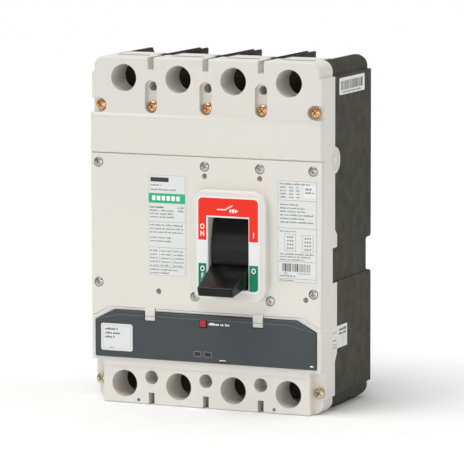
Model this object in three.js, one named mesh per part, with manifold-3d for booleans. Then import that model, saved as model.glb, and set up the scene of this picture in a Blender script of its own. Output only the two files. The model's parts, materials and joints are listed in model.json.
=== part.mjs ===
// A four-pole molded case circuit breaker, standing upright, in millimetres.
// X runs across the poles, Y runs from the front (negative) to the rear mounting face (0) and Z runs up.
// Every piece is laid out with Z = 0 at the load end; the whole group is then lowered by half its height,
// so that the origin lies at the middle of the rear mounting face.
// It rests with the handle OFF, so that the contacts stand open.

import * as THREE from "three";
import { mergeVertices } from "three/addons/utils/BufferGeometryUtils.js";
import Module from "manifold-3d";

const wasm = await Module();
wasm.setup();

// Driving dimensions of the case.
const WIDTH = 183.4;
const HEIGHT = 257.3;
const POLE_PITCH = 43.7;
const FRONT_Y = -102;
const GAP = 0.3;

// Levels in Y, from the rear to the front.
const PARTING_Y = -74.4;
const LINE_FACE_Y = -99.5;
const LOAD_FACE_Y = -101;
const SHELF_Y = -96;
const PANEL_Y = -104;
const PANEL_BACK_Y = -97;
const BEZEL_Y = -109;
const COVER_CAVITY_Y = -92;

// Outline of the case seen from the front.
const HALF_WIDTH = WIDTH / 2;
const BASE_HALF_WIDTH = HALF_WIDTH - 1.1;
const END_STEP = 2;
const END_HEIGHT = 11.7;
const END_RADIUS = 8;

// Heights of the seams on the front.
const LINE_ZONE_Z = 212.5;
const LINE_RAMP = 3;
const SEAM_Z = 186;
const LOWER_SEAM_Z = 72;
const LOWER_SEAM_SIDE_Z = 65.5;
const LOWER_SEAM_X = 77.5;
const LOAD_ZONE_Z = 28.2;

// Poles, partitions and the spaces between them.
const POLES = [-1.5, -0.5, 0.5, 1.5].map((n) => n * POLE_PITCH);
const PARTITIONS = [-1, 0, 1].map((n) => n * POLE_PITCH);
const PARTITION = 7.4;
const END_WALL_X = 81.4;
const POLE_SPACE = POLE_PITCH - PARTITION;
const FLOOR_Y = -13;
const PEDESTAL_Y = -29.7;
const TONGUE = { halfWidth: 15.2, rear: -56 };
const BARRIER_SLOT = 4.6;
const BARRIER_SLOT_DEPTH = 9;
const ACCESS_R = 10.1;
const LINE_HOLE_Z = 241.7;
const LOAD_HOLE_Z = 14.8;
const MOUNT_R = 3.3;
const LINE_MOUNT_Z = 235.8;
const LOAD_MOUNT_Z = 20.4;

// Rear channel and side band.
const CHANNEL_Z = [95.5, 120.5];
const CHANNEL_DEPTH = 8;
const CHANNEL_CHAMFER = 2;
const BAND_FRONT_Y = -78.8;
const BAND_DEPTH = 0.8;
const BAND_TAB_X = 86.3;

// Screws.
const COVER_SCREW = { head: 4.2, height: 3, shank: 2, length: 18 };
const ACCESSORY_SCREW = { head: 3.35, height: 1.9, shank: 1.4, length: 9 };
const TERMINAL_SCREW = { head: 6.5, height: 5, shank: 3.8, length: 17 };
const LINE_SCREW_Z = 221;
const LINE_SCREW_Y = -94.8;
const SIDE_SCREW_X = 85.1;
const LOAD_SCREW = { x: 87.2, y: -93, z: 16.2 };
const LOAD_NOTCH = { x: 82.5, z: 32 };
const ACCESSORY_SCREW_Y = -100.4;

// Handle and its escutcheon, on the centreline of the three switched poles.
const HANDLE_X = POLE_PITCH / 2;
const HANDLE_PIVOT = { y: -48, z: 118 };
const HANDLE_OFF = THREE.MathUtils.degToRad(17);
const DRUM_R = 57;
const DRUM_WALL = 3;
const DRUM_HALF_WIDTH = 15.2;
const DRUM_HALF_ANGLE = THREE.MathUtils.degToRad(45.5);
const GRIP_R = 89.7;
const GRIP_ROOT = { halfWidth: 15.2, halfHeight: 7.9 };
const GRIP_TIP = { halfWidth: 13.8, halfHeight: 3.4 };
const BEZEL = { halfWidth: 29.5, bottom: 82, top: 163, radius: 11 };
const OPENING = { halfWidth: 15.9, bottom: 91, top: 143.2 };
const ACCESSORY_SCREWS = [
  [-85.3, 179],
  [0, 179],
  [POLE_PITCH, 179],
  [85.3, 179],
  [-85.6, 89.7],
  [85.6, 89.7],
  [HANDLE_X - 29.9, 83],
  [HANDLE_X + 29.9, 83],
];

// Trip unit, its panel and its button.
const PANEL = { halfWidth: 88, bottom: 34.7, top: 69.8, cornerX: 72.6, cornerZ: 61.8 };
const PANEL_CLIPS = [-43.8, 42.4];
const CLIP = { halfWidth: 4, bottom: 63.2 };
const BUTTON = { x: -0.6, z: 63.7, side: 4.8, hole: 5.6 };
const TRIP_AXIS = { y: -85, z: 52 };
const TRIP_BODY = { bottom: 36.5, top: 61.5, front: -80, rear: -36 };

// Contacts and operating mechanism.
const CROSSBAR = { y: -36, z: 96, r: 6.5, halfLength: 80 };
const CONTACT_OPEN = THREE.MathUtils.degToRad(18);
const ARM_HALF_WIDTH = 3;
const ARM_TIP = 84;
const STRAP_Y = -34;
const STRAP = { halfWidth: 10, thickness: 4, padRise: 1, bore: 4.2 };
const LUG_GAP = 3;
const LINK = 16.82;
const CRADLE_PIN = { y: -66, z: 131 };
const CRANK_PIN = { y: -3, z: 15 };
const CRADLE_PIVOT = { y: -34, z: 142 };
const LAYERS = { crank: 3.9, upperLink: 6.1, lowerLink: 8.1, cradle: 10.1, handleArm: 12.1, plate: 14.3 };
const SHEET = 1.6;
const PLATE = 2;
const PIN_R = 1.6;
const CRANK_BORE = 2;
const YOKE_R = 48;

const material = (color, roughness, metalness = 0) =>
  new THREE.MeshStandardMaterial({ color, roughness, metalness });
const MATERIALS = {
  coverPlastic: material("#dcdad2", 0.5),
  basePlastic: material("#4b4a44", 0.6),
  panelPlastic: material("#474b4c", 0.4),
  handlePlastic: material("#161616", 0.35),
  redPlastic: material("#a12a2a", 0.4),
  blackPlastic: material("#232323", 0.6),
  yellowZinc: material("#c99a55", 0.3, 1),
  clearZinc: material("#b8bcbc", 0.3, 1),
  steel: material("#9a9a98", 0.4, 1),
  copper: material("#b8734a", 0.35, 1),
  fibre: material("#8d3b2c", 0.8),
  paper: material("#e8e8e6", 0.6),
};

// Turns a closed three.js geometry into a solid that can be joined and cut.
function solid(geometry) {
  const plain = geometry.clone();
  plain.deleteAttribute("normal");
  plain.deleteAttribute("uv");
  const merged = mergeVertices(plain, 1e-4);
  return new wasm.Manifold(
    new wasm.Mesh({
      numProp: 3,
      vertProperties: new Float32Array(merged.attributes.position.array),
      triVerts: new Uint32Array(merged.index.array),
    }),
  );
}

function geometryOf(made) {
  const mesh = made.getMesh();
  const geometry = new THREE.BufferGeometry();
  geometry.setAttribute("position", new THREE.BufferAttribute(mesh.vertProperties, 3));
  geometry.setIndex(new THREE.BufferAttribute(mesh.triVerts, 1));
  geometry.computeVertexNormals();
  return geometry;
}

const join = (first, ...others) => others.reduce((all, one) => all.add(one), first);
const cut = (first, ...others) => others.reduce((all, one) => all.subtract(one), first);

function box([x0, x1], [y0, y1], [z0, z1]) {
  const geometry = new THREE.BoxGeometry(x1 - x0, y1 - y0, z1 - z0);
  return solid(geometry.translate((x0 + x1) / 2, (y0 + y1) / 2, (z0 + z1) / 2));
}

// A shape drawn in X and Z, from the rear level to the front level.
function prismY(shape, rear, front, curveSegments = 6) {
  const geometry = new THREE.ExtrudeGeometry(shape, {
    depth: rear - front,
    bevelEnabled: false,
    curveSegments,
  });
  return solid(geometry.rotateX(Math.PI / 2).translate(0, rear, 0));
}

// A shape drawn in Y and Z, from one X to another.
function prismX(shape, [x0, x1], curveSegments = 6) {
  const geometry = new THREE.ExtrudeGeometry(shape, {
    depth: x1 - x0,
    bevelEnabled: false,
    curveSegments,
  });
  const axes = [new THREE.Vector3(0, 1, 0), new THREE.Vector3(0, 0, 1), new THREE.Vector3(1, 0, 0)];
  return solid(geometry.applyMatrix4(new THREE.Matrix4().makeBasis(...axes)).translate(x0, 0, 0));
}

function rodY(x, z, radius, [y0, y1], segments = 16) {
  const geometry = new THREE.CylinderGeometry(radius, radius, y1 - y0, segments);
  return solid(geometry.translate(x, (y0 + y1) / 2, z));
}

function rodX([x0, x1], y, z, radius, segments = 16) {
  const geometry = new THREE.CylinderGeometry(radius, radius, x1 - x0, segments);
  return solid(geometry.rotateZ(Math.PI / 2).translate((x0 + x1) / 2, y, z));
}

// The stretch between two distances from the middle, on one side of it.
function span(side, from, to) {
  return side > 0 ? [from, to] : [-to, -from];
}

function polygon(points) {
  return new THREE.Shape(points.map(([a, b]) => new THREE.Vector2(a, b)));
}

function roundedRectangle([left, right], [bottom, top], radius) {
  const shape = new THREE.Shape();
  shape.absarc(right - radius, bottom + radius, radius, -Math.PI / 2, 0);
  shape.absarc(right - radius, top - radius, radius, 0, Math.PI / 2);
  shape.absarc(left + radius, top - radius, radius, Math.PI / 2, Math.PI);
  shape.absarc(left + radius, bottom + radius, radius, Math.PI, 1.5 * Math.PI);
  return shape;
}

// A flat bar with round ends between two points in Y and Z.
function barShape(from, to, radius) {
  const angle = Math.atan2(to.z - from.z, to.y - from.y);
  const shape = new THREE.Shape();
  shape.absarc(from.y, from.z, radius, angle + Math.PI / 2, angle + 1.5 * Math.PI);
  shape.absarc(to.y, to.z, radius, angle - Math.PI / 2, angle + Math.PI / 2);
  return shape;
}

const group = new THREE.Group();
group.position.z = -HEIGHT / 2;

function add(name, made, look, parent = group) {
  const mesh = new THREE.Mesh(geometryOf(made), look);
  mesh.name = name;
  parent.add(mesh);
}

// A group turned about an axis along X, whose contents are drawn round that axis.
function turned({ y, z }, angle) {
  const pivot = new THREE.Group();
  pivot.position.set(0, y, z);
  pivot.rotation.x = angle;
  group.add(pivot);
  return pivot;
}

// The case seen from the front: its ends are stepped in and have round corners.
function caseOutline(halfWidth) {
  const end = halfWidth - END_STEP;
  const arc = end - END_RADIUS;
  const shape = new THREE.Shape();
  shape.absarc(arc, END_RADIUS, END_RADIUS, -Math.PI / 2, 0);
  shape.lineTo(end, END_HEIGHT);
  shape.lineTo(halfWidth, END_HEIGHT);
  shape.lineTo(halfWidth, HEIGHT - END_HEIGHT);
  shape.lineTo(end, HEIGHT - END_HEIGHT);
  shape.absarc(arc, HEIGHT - END_RADIUS, END_RADIUS, 0, Math.PI / 2);
  shape.absarc(-arc, HEIGHT - END_RADIUS, END_RADIUS, Math.PI / 2, Math.PI);
  shape.lineTo(-end, HEIGHT - END_HEIGHT);
  shape.lineTo(-halfWidth, HEIGHT - END_HEIGHT);
  shape.lineTo(-halfWidth, END_HEIGHT);
  shape.lineTo(-end, END_HEIGHT);
  shape.absarc(-arc, END_RADIUS, END_RADIUS, Math.PI, 1.5 * Math.PI);
  return shape;
}

// The case seen from the side: a rear channel and rounded rear corners.
function baseProfile(topRadius) {
  const rearStep = 2.3;
  const bottomRadius = 8;
  const shape = new THREE.Shape();
  shape.moveTo(PARTING_Y + GAP / 2, HEIGHT);
  shape.lineTo(PARTING_Y + GAP / 2, 0);
  shape.absarc(-rearStep - bottomRadius, bottomRadius, bottomRadius, -Math.PI / 2, 0);
  shape.lineTo(-rearStep, END_HEIGHT);
  shape.lineTo(0, END_HEIGHT);
  shape.lineTo(0, CHANNEL_Z[0] - CHANNEL_CHAMFER);
  shape.lineTo(-CHANNEL_CHAMFER, CHANNEL_Z[0]);
  shape.lineTo(CHANNEL_CHAMFER - CHANNEL_DEPTH, CHANNEL_Z[0]);
  shape.lineTo(-CHANNEL_DEPTH, CHANNEL_Z[0] + CHANNEL_CHAMFER);
  shape.lineTo(-CHANNEL_DEPTH, CHANNEL_Z[1] - CHANNEL_CHAMFER);
  shape.lineTo(CHANNEL_CHAMFER - CHANNEL_DEPTH, CHANNEL_Z[1]);
  shape.lineTo(-CHANNEL_CHAMFER, CHANNEL_Z[1]);
  shape.lineTo(0, CHANNEL_Z[1] + CHANNEL_CHAMFER);
  shape.lineTo(0, HEIGHT - END_HEIGHT);
  shape.lineTo(-rearStep, HEIGHT - END_HEIGHT);
  shape.absarc(-rearStep - topRadius, HEIGHT - topRadius, topRadius, 0, Math.PI / 2);
  return shape;
}

// Holes that run from front to rear between the poles, through cover and base alike.
function mountingHoles() {
  return PARTITIONS.flatMap((x) =>
    [LINE_MOUNT_Z, LOAD_MOUNT_Z].map((z) => rodY(x, z, MOUNT_R, [PANEL_Y, 5])),
  );
}

function barrierSlots() {
  const half = BARRIER_SLOT / 2;
  const ends = [
    [-1, BARRIER_SLOT_DEPTH],
    [HEIGHT - BARRIER_SLOT_DEPTH, HEIGHT + 1],
  ];
  return PARTITIONS.flatMap((x) => ends.map((end) => box([x - half, x + half], [PANEL_Y, 5], end)));
}

function makeBase() {
  const through = [-POLES[3] - POLE_SPACE / 2, POLES[3] + POLE_SPACE / 2];
  const front = PARTING_Y - 1;
  const shelfTop = 204;
  const shelfBottom = 208;
  const rearWallTop = 246;
  const innerCornerRadius = 1.2;
  const poleSpaces = POLES.flatMap((x) => {
    const across = [x - POLE_SPACE / 2, x + POLE_SPACE / 2];
    const strap = [x - 10.5, x + 10.5];
    return [
      box(across, [front, FLOOR_Y], [62, 158]),
      box(across, [front, PEDESTAL_Y], [157, shelfTop]),
      box(across, [front, PEDESTAL_Y], [shelfBottom, HEIGHT + 1]),
      box(strap, [STRAP_Y - 0.5, PEDESTAL_Y], [shelfTop - 1, shelfBottom + 1]),
      box(across, [front, 1], [rearWallTop, HEIGHT + 1]),
      box(across, [front, PEDESTAL_Y], [-1, 35]),
      box(across, [front, 1], [-1, HEIGHT - rearWallTop]),
    ];
  });
  const tripSpace = box(through, [front, PEDESTAL_Y], [34, 64]);
  const crossbarSlot = box(through, [front, CROSSBAR.y + 8], [CROSSBAR.z - 8, CROSSBAR.z + 8]);
  const bosses = PARTITIONS.flatMap((x) =>
    [LINE_MOUNT_Z, LOAD_MOUNT_Z].map((z) =>
      box([x - 5.4, x + 5.4], [PARTING_Y + GAP / 2, -3], [z - 5.4, z + 5.4]),
    ),
  );
  const bands = [-1, 1].map((side) =>
    box(span(side, BASE_HALF_WIDTH - BAND_DEPTH, HALF_WIDTH), [PARTING_Y - 1, 1], CHANNEL_Z),
  );
  const tabs = [-1, 1].map((side) =>
    box(span(side, BAND_TAB_X, BASE_HALF_WIDTH - BAND_DEPTH), [BAND_FRONT_Y, PARTING_Y + 1], CHANNEL_Z),
  );
  const endWalls = [-1, 1].flatMap((side) =>
    [
      [0.5, 36],
      [shelfBottom - 1, HEIGHT - 0.5],
    ].map((heights) => box(span(side, END_WALL_X, through[1] + 1), [PARTING_Y + GAP, -12], heights)),
  );
  // The outer walls have round rear corners at the top, and the walls between the poles square ones.
  const shell = join(
    prismX(baseProfile(HEIGHT - rearWallTop), [-HALF_WIDTH, HALF_WIDTH]),
    prismX(baseProfile(innerCornerRadius), [-POLES[3], POLES[3]]),
  ).intersect(prismY(caseOutline(BASE_HALF_WIDTH), 5, FRONT_Y));
  const screwBores = terminalPlaces().map(([x, , z]) => rodY(x, z, 4.2, [PEDESTAL_Y - 1, -17], 12));
  const hollow = cut(shell, ...poleSpaces, tripSpace, crossbarSlot, ...screwBores, ...bands);
  const whole = join(hollow, ...bosses, ...tabs, ...endWalls);
  return cut(whole, ...barrierSlots(), ...mountingHoles());
}

// Thin lips of the cover that lap over the sides of the base.
function coverSkirt(side) {
  const lip = polygon([
    [PARTING_Y - 1, 37],
    [PARTING_Y, 37],
    [-70.6, 43],
    [-70.6, CHANNEL_Z[0] - GAP],
    [PARTING_Y, CHANNEL_Z[0] - GAP],
    [PARTING_Y, CHANNEL_Z[1] + GAP],
    [-70.6, CHANNEL_Z[1] + GAP],
    [-70.6, 130.4],
    [PARTING_Y, 134],
    [PARTING_Y - 1, 134],
  ]);
  const ring = new THREE.Shape();
  ring.absarc(PARTING_Y, 184.8, 9.9, 0, 2 * Math.PI);
  const edges = span(side, BASE_HALF_WIDTH + 0.2, HALF_WIDTH);
  return join(prismX(lip, edges), prismX(ring, edges, 10));
}

// Pockets over the mounting holes of the line end, with the seat of a cover screw at their foot.
function linePocket(x) {
  const radius = 4.7;
  const shape = new THREE.Shape();
  shape.absarc(x, LINE_MOUNT_Z, radius, 0, Math.PI);
  shape.lineTo(x - radius, LINE_SCREW_Z);
  shape.absarc(x, LINE_SCREW_Z, radius, Math.PI, 2 * Math.PI);
  return prismY(shape, LINE_SCREW_Y, PANEL_Y);
}

// Notches round the outer cover screws of the line end, open to the side.
function sideNotch(side) {
  const half = 5.35;
  const heights = [LINE_SCREW_Z - half, LINE_SCREW_Z + half];
  return join(
    rodY(side * SIDE_SCREW_X, LINE_SCREW_Z, half, [PANEL_Y, LINE_SCREW_Y]),
    box(span(side, SIDE_SCREW_X, HALF_WIDTH + 1), [PANEL_Y, LINE_SCREW_Y], heights),
  );
}

function panelOutline(grow) {
  const { halfWidth, bottom, top, cornerX, cornerZ } = PANEL;
  return polygon([
    [-halfWidth - grow, bottom - grow],
    [halfWidth + grow, bottom - grow],
    [halfWidth + grow, cornerZ + grow / 2],
    [cornerX + grow / 2, top + grow],
    [-cornerX - grow / 2, top + grow],
    [-halfWidth - grow, cornerZ + grow / 2],
  ]);
}

function accessoryOutline(grow) {
  const side = HALF_WIDTH + (grow > 0 ? 1 : 0);
  const slant = [HALF_WIDTH - 3.2, LOWER_SEAM_SIDE_Z - grow];
  return polygon([
    [-side, LOWER_SEAM_SIDE_Z - grow],
    [-slant[0], slant[1]],
    [-LOWER_SEAM_X, LOWER_SEAM_Z - grow],
    [LOWER_SEAM_X, LOWER_SEAM_Z - grow],
    slant,
    [side, LOWER_SEAM_SIDE_Z - grow],
    [side, SEAM_Z + grow],
    [-side, SEAM_Z + grow],
  ]);
}

// The space swept by the drum of the handle.
function drumSpace() {
  const half = OPENING.halfWidth + 0.3;
  const { y, z } = HANDLE_PIVOT;
  return rodX([HANDLE_X - half, HANDLE_X + half], y, z, DRUM_R + 0.9, 40);
}

function coverFace() {
  const ramp = polygon([
    [LINE_FACE_Y + 1, LOAD_ZONE_Z],
    [FRONT_Y, LOAD_ZONE_Z],
    [FRONT_Y, LINE_ZONE_Z],
    [LINE_FACE_Y, LINE_ZONE_Z + LINE_RAMP],
    [LINE_FACE_Y + 1, LINE_ZONE_Z + LINE_RAMP],
  ]);
  const lowerEnd = prismY(caseOutline(HALF_WIDTH), LINE_FACE_Y + 1, LOAD_FACE_Y);
  const loadHalf = box([-HALF_WIDTH, HALF_WIDTH], [LOAD_FACE_Y, LINE_FACE_Y + 1], [0, LOAD_ZONE_Z + 1]);
  return join(prismX(ramp, [-HALF_WIDTH, HALF_WIDTH]), lowerEnd.intersect(loadHalf));
}

function makeFrontCover() {
  const block = join(
    prismY(caseOutline(HALF_WIDTH), PARTING_Y - GAP / 2, LINE_FACE_Y),
    coverFace(),
    coverSkirt(-1),
    coverSkirt(1),
  );
  const ends = [HEIGHT - 4, HEIGHT];
  const tongues = POLES.flatMap((x) =>
    [ends, [0, 4]].map((heights) =>
      box([x - TONGUE.halfWidth, x + TONGUE.halfWidth], [PARTING_Y - 1, TONGUE.rear], heights),
    ),
  );
  const vents = POLES.map((x) => box([x - 13.5, x + 13.5], [-84, -77], [HEIGHT - 7, HEIGHT + 1]));
  const accessHoles = POLES.flatMap((x) =>
    [LINE_HOLE_Z, LOAD_HOLE_Z].map((z) => rodY(x, z, ACCESS_R, [PANEL_Y, PARTING_Y + 1], 24)),
  );
  const loadPockets = PARTITIONS.map((x) => rodY(x, LOAD_MOUNT_Z, 5.2, [PANEL_Y, -81]));
  const sideNotches = [-1, 1].map(sideNotch);
  const drainHoles = [-54.3, 54.3].map((x) => rodY(x, 3, 1.3, [PANEL_Y, -90], 10));
  const loadNotches = [-1, 1].map((side) =>
    box(span(side, LOAD_NOTCH.x, HALF_WIDTH + 1), [PANEL_Y, LOAD_SCREW.y], [-1, LOAD_NOTCH.z]),
  );
  const bandCuts = [-1, 1].map((side) =>
    box(
      span(side, BAND_TAB_X - GAP, HALF_WIDTH + 1),
      [BAND_FRONT_Y - GAP, PARTING_Y + 9],
      [CHANNEL_Z[0] - GAP, CHANNEL_Z[1] + GAP],
    ),
  );
  const cavity = box([-86, 86], [COVER_CAVITY_Y, PARTING_Y + 1], [34, 208]);
  const shelf = prismY(accessoryOutline(0.15), SHELF_Y + 0.15, PANEL_Y);
  const panelPocket = prismY(panelOutline(0.3), PANEL_BACK_Y + GAP, PANEL_Y - 1);
  const half = BUTTON.hole / 2;
  const buttonHole = box(
    [BUTTON.x - half, BUTTON.x + half],
    [PANEL_Y, PARTING_Y],
    [BUTTON.z - half, BUTTON.z + half],
  );
  const screwHoles = [
    ...ACCESSORY_SCREWS.map(([x, z]) => rodY(x, z, ACCESSORY_SCREW.shank + 0.3, [PANEL_Y, -90], 8)),
    ...coverScrewPlaces().map(([x, y, z]) => rodY(x, z, COVER_SCREW.shank + 0.3, [y - 1, PARTING_Y + 1], 8)),
  ];
  const bossPosts = ACCESSORY_SCREWS.filter(([, z]) => z > 100).map(([x, z]) =>
    box([x - 3.5, x + 3.5], [COVER_CAVITY_Y - 1, -88], [z - 3.5, z + 3.5]),
  );
  const hollow = join(cut(join(block, ...tongues), cavity), ...bossPosts);
  return cut(
    hollow,
    ...vents,
    ...accessHoles,
    ...PARTITIONS.map(linePocket),
    ...loadPockets,
    ...sideNotches,
    ...drainHoles,
    ...PANEL_CLIPS.map((x) => clipBox(x, GAP)),
    ...loadNotches,
    ...bandCuts,
    shelf,
    panelPocket,
    buttonHole,
    drumSpace(),
    ...screwHoles,
    ...barrierSlots(),
    ...mountingHoles(),
  );
}

function makeAccessoryCover() {
  const [left, right] = [HANDLE_X - BEZEL.halfWidth, HANDLE_X + BEZEL.halfWidth];
  const plate = prismY(accessoryOutline(0), SHELF_Y, FRONT_Y);
  const outline = roundedRectangle([left, right], [BEZEL.bottom, BEZEL.top], BEZEL.radius);
  const bezel = prismY(outline, SHELF_Y, BEZEL_Y);
  const opening = box(
    [HANDLE_X - OPENING.halfWidth, HANDLE_X + OPENING.halfWidth],
    [BEZEL_Y - 1, SHELF_Y + 1],
    [OPENING.bottom, OPENING.top],
  );
  const seats = ACCESSORY_SCREWS.flatMap(([x, z]) => [
    rodY(x, z, ACCESSORY_SCREW.head + 0.35, [BEZEL_Y, ACCESSORY_SCREW_Y]),
    rodY(x, z, ACCESSORY_SCREW.shank + 0.3, [BEZEL_Y, SHELF_Y + 1], 8),
  ]);
  const pinHoles = [
    [0, 172.1],
    [POLE_PITCH, 172.1],
    [-37, 85.3],
    [79.7, 85.3],
  ].map(([x, z]) => rodY(x, z, 2.05, [BEZEL_Y, SHELF_Y + 1], 12));
  const clips = PANEL_CLIPS.map((x) => {
    const across = [x - CLIP.halfWidth, x + CLIP.halfWidth];
    return box(across, [FRONT_Y - 1, PANEL_BACK_Y], [CLIP.bottom, LOWER_SEAM_Z + 1]);
  });
  return cut(join(plate, bezel, ...clips), opening, drumSpace(), ...seats, ...pinHoles);
}

// The room for a clip of the accessory cover that laps over the panel.
function clipBox(x, grow) {
  const half = CLIP.halfWidth + grow;
  const heights = [CLIP.bottom - grow, LOWER_SEAM_Z + grow];
  return box([x - half, x + half], [PANEL_Y - 1, PANEL_BACK_Y + GAP / 2], heights);
}

function makePanel() {
  const half = BUTTON.hole / 2;
  const buttonHole = box(
    [BUTTON.x - half, BUTTON.x + half],
    [PANEL_Y - 1, PANEL_BACK_Y + 1],
    [BUTTON.z - half, BUTTON.z + half],
  );
  const clipNotches = PANEL_CLIPS.map((x) => clipBox(x, GAP));
  return cut(prismY(panelOutline(0), PANEL_BACK_Y, PANEL_Y), buttonHole, ...clipNotches);
}

// A screw with its head to the front, placed by the middle of its seat.
function screw({ head, height, shank, length }, [x, y, z], segments = 12) {
  const profile = [
    [0, -length],
    [shank, -length],
    [shank, 0],
    [head, 0],
    [head, 0.6 * height],
    [0.7 * head, height],
    [0, height],
  ].map(([radius, along]) => new THREE.Vector2(radius, along));
  const geometry = new THREE.LatheGeometry(profile, segments);
  return solid(geometry.rotateX(Math.PI).translate(x, y, z));
}

// Terminal screws stand backed off, with room for a cable lug under the head.
function terminalPlaces() {
  const seat = STRAP_Y - STRAP.padRise - LUG_GAP;
  return [LINE_HOLE_Z, LOAD_HOLE_Z].flatMap((z) => POLES.map((x) => [x, seat, z]));
}

function coverScrewPlaces() {
  const line = [-SIDE_SCREW_X, ...PARTITIONS, SIDE_SCREW_X].map((x) => [x, LINE_SCREW_Y, LINE_SCREW_Z]);
  const load = [-1, 1].map((side) => [side * LOAD_SCREW.x, LOAD_SCREW.y, LOAD_SCREW.z]);
  return [...line, ...load];
}

// A block between two X planes whose section shrinks from the root to the tip.
function taperedGrip() {
  const { halfWidth: rootWidth, halfHeight: rootHeight } = GRIP_ROOT;
  const { halfWidth: tipWidth, halfHeight: tipHeight } = GRIP_TIP;
  const geometry = new THREE.BoxGeometry(2, 2, 2);
  const place = geometry.getAttribute("position");
  for (let i = 0; i < place.count; i += 1) {
    const atTip = place.getY(i) < 0;
    place.setXYZ(
      i,
      place.getX(i) * (atTip ? tipWidth : rootWidth),
      atTip ? -GRIP_R : -(DRUM_R - DRUM_WALL),
      place.getZ(i) * (atTip ? tipHeight : rootHeight),
    );
  }
  return solid(geometry);
}

function makeHandle() {
  const sector = new THREE.Shape();
  const [from, to] = [Math.PI - DRUM_HALF_ANGLE, Math.PI + DRUM_HALF_ANGLE];
  sector.absarc(0, 0, DRUM_R, from, to);
  sector.absarc(0, 0, DRUM_R - DRUM_WALL, to, from, true);
  const drum = prismX(sector, [-DRUM_HALF_WIDTH, DRUM_HALF_WIDTH], 20);
  return join(drum, taperedGrip());
}

// A steel yoke that hangs on the side plates and carries the handle.
function makeHandleArm() {
  const inner = LAYERS.handleArm;
  const outer = inner + SHEET;
  const legs = [-1, 1].map((side) => {
    const leg = barShape({ y: 0, z: 0 }, { y: -YOKE_R, z: 0 }, 4.2);
    const stub = rodX(span(side, inner, LAYERS.plate + PLATE), 0, 0, 2.5);
    return join(prismX(leg, span(side, inner, outer), 4), stub);
  });
  return join(box([-outer, outer], [-YOKE_R - 4, -YOKE_R - 1], [-4, 4]), ...legs);
}

function makeSidePlate(side) {
  const outline = polygon([
    [FLOOR_Y - GAP, 84],
    [-60, 84],
    [-84, 102],
    [-84, 134],
    [-62, 152],
    [FLOOR_Y - GAP, 152],
  ]);
  const edges = span(side, LAYERS.plate, LAYERS.plate + PLATE);
  const reach = [edges[0] - 1, edges[1] + 1];
  return cut(
    prismX(outline, edges),
    rodX(reach, HANDLE_PIVOT.y, HANDLE_PIVOT.z, 2.9),
    rodX(reach, CROSSBAR.y, CROSSBAR.z, CROSSBAR.r + 1),
    rodX(reach, CRADLE_PIVOT.y, CRADLE_PIVOT.z, 2.4),
  );
}

// Two latch plates with a cross bar, and the stubs from which the toggle hangs.
function makeCradle() {
  const outline = polygon([
    [CRADLE_PIVOT.y + 4, CRADLE_PIVOT.z - 4],
    [CRADLE_PIVOT.y + 4, CRADLE_PIVOT.z + 4],
    [CRADLE_PIN.y - 2, CRADLE_PIN.z + 6],
    [CRADLE_PIN.y - 8, CRADLE_PIN.z - 6],
    [-72, 88],
    [-67, 88],
    [CRADLE_PIN.y + 4, CRADLE_PIN.z - 8],
  ]);
  const plates = [-1, 1].map((side) => {
    const { lowerLink, cradle, plate } = LAYERS;
    return join(
      prismX(outline, span(side, cradle, cradle + SHEET)),
      rodX(span(side, cradle, plate + PLATE), CRADLE_PIVOT.y, CRADLE_PIVOT.z, 2),
      rodX(span(side, lowerLink - 0.1, cradle), CRADLE_PIN.y, CRADLE_PIN.z, PIN_R),
    );
  });
  const bridge = box([-LAYERS.cradle - 1, LAYERS.cradle + 1], [-71.5, -67.5], [88.5, 91]);
  return join(bridge, ...plates);
}

// Where the pins of the toggle stand, in Y and Z, with the contacts opened by an angle.
function togglePins(openBy) {
  const crank = {
    y: CROSSBAR.y + CRANK_PIN.y * Math.cos(openBy) - CRANK_PIN.z * Math.sin(openBy),
    z: CROSSBAR.z + CRANK_PIN.y * Math.sin(openBy) + CRANK_PIN.z * Math.cos(openBy),
  };
  const across = { y: crank.y - CRADLE_PIN.y, z: crank.z - CRADLE_PIN.z };
  const span = Math.hypot(across.y, across.z);
  const rise = Math.sqrt(LINK ** 2 - (span / 2) ** 2) / span;
  const knee = {
    y: CRADLE_PIN.y + across.y / 2 + across.z * rise,
    z: CRADLE_PIN.z + across.z / 2 - across.y * rise,
  };
  return { crank, knee };
}

// A pair of link plates, held together by a pin at one end and bored at the other.
function makeLink(from, to, layer, pinAt, bore) {
  const plates = [-1, 1].map((side) => {
    const edges = span(side, layer, layer + SHEET);
    const reach = [edges[0] - 1, edges[1] + 1];
    return cut(prismX(barShape(from, to, 4), edges, 4), rodX(reach, bore.y, bore.z, PIN_R + GAP));
  });
  return join(rodX([-pinAt.reach, pinAt.reach], pinAt.y, pinAt.z, PIN_R), ...plates);
}

function makeSpring(x, from, to) {
  const [turns, steps, coilR] = [6, 8, 2.2];
  const axis = new THREE.Vector3(0, to.y - from.y, to.z - from.z);
  const length = axis.length();
  const along = axis.clone().normalize();
  const across = new THREE.Vector3(1, 0, 0);
  const third = new THREE.Vector3().crossVectors(along, across);
  const points = Array.from({ length: turns * steps + 1 }, (_, i) => {
    const angle = (i / steps) * 2 * Math.PI;
    const travel = 3 + ((length - 6) * i) / (turns * steps);
    return new THREE.Vector3(x, from.y, from.z)
      .addScaledVector(along, travel)
      .addScaledVector(across, coilR * Math.cos(angle))
      .addScaledVector(third, coilR * Math.sin(angle));
  });
  const wire = new THREE.Shape().absarc(0, 0, 0.5, 0, 2 * Math.PI);
  const geometry = new THREE.ExtrudeGeometry(wire, {
    steps: turns * steps,
    curveSegments: 2,
    extrudePath: new THREE.CatmullRomCurve3(points),
  });
  return solid(geometry);
}

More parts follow.
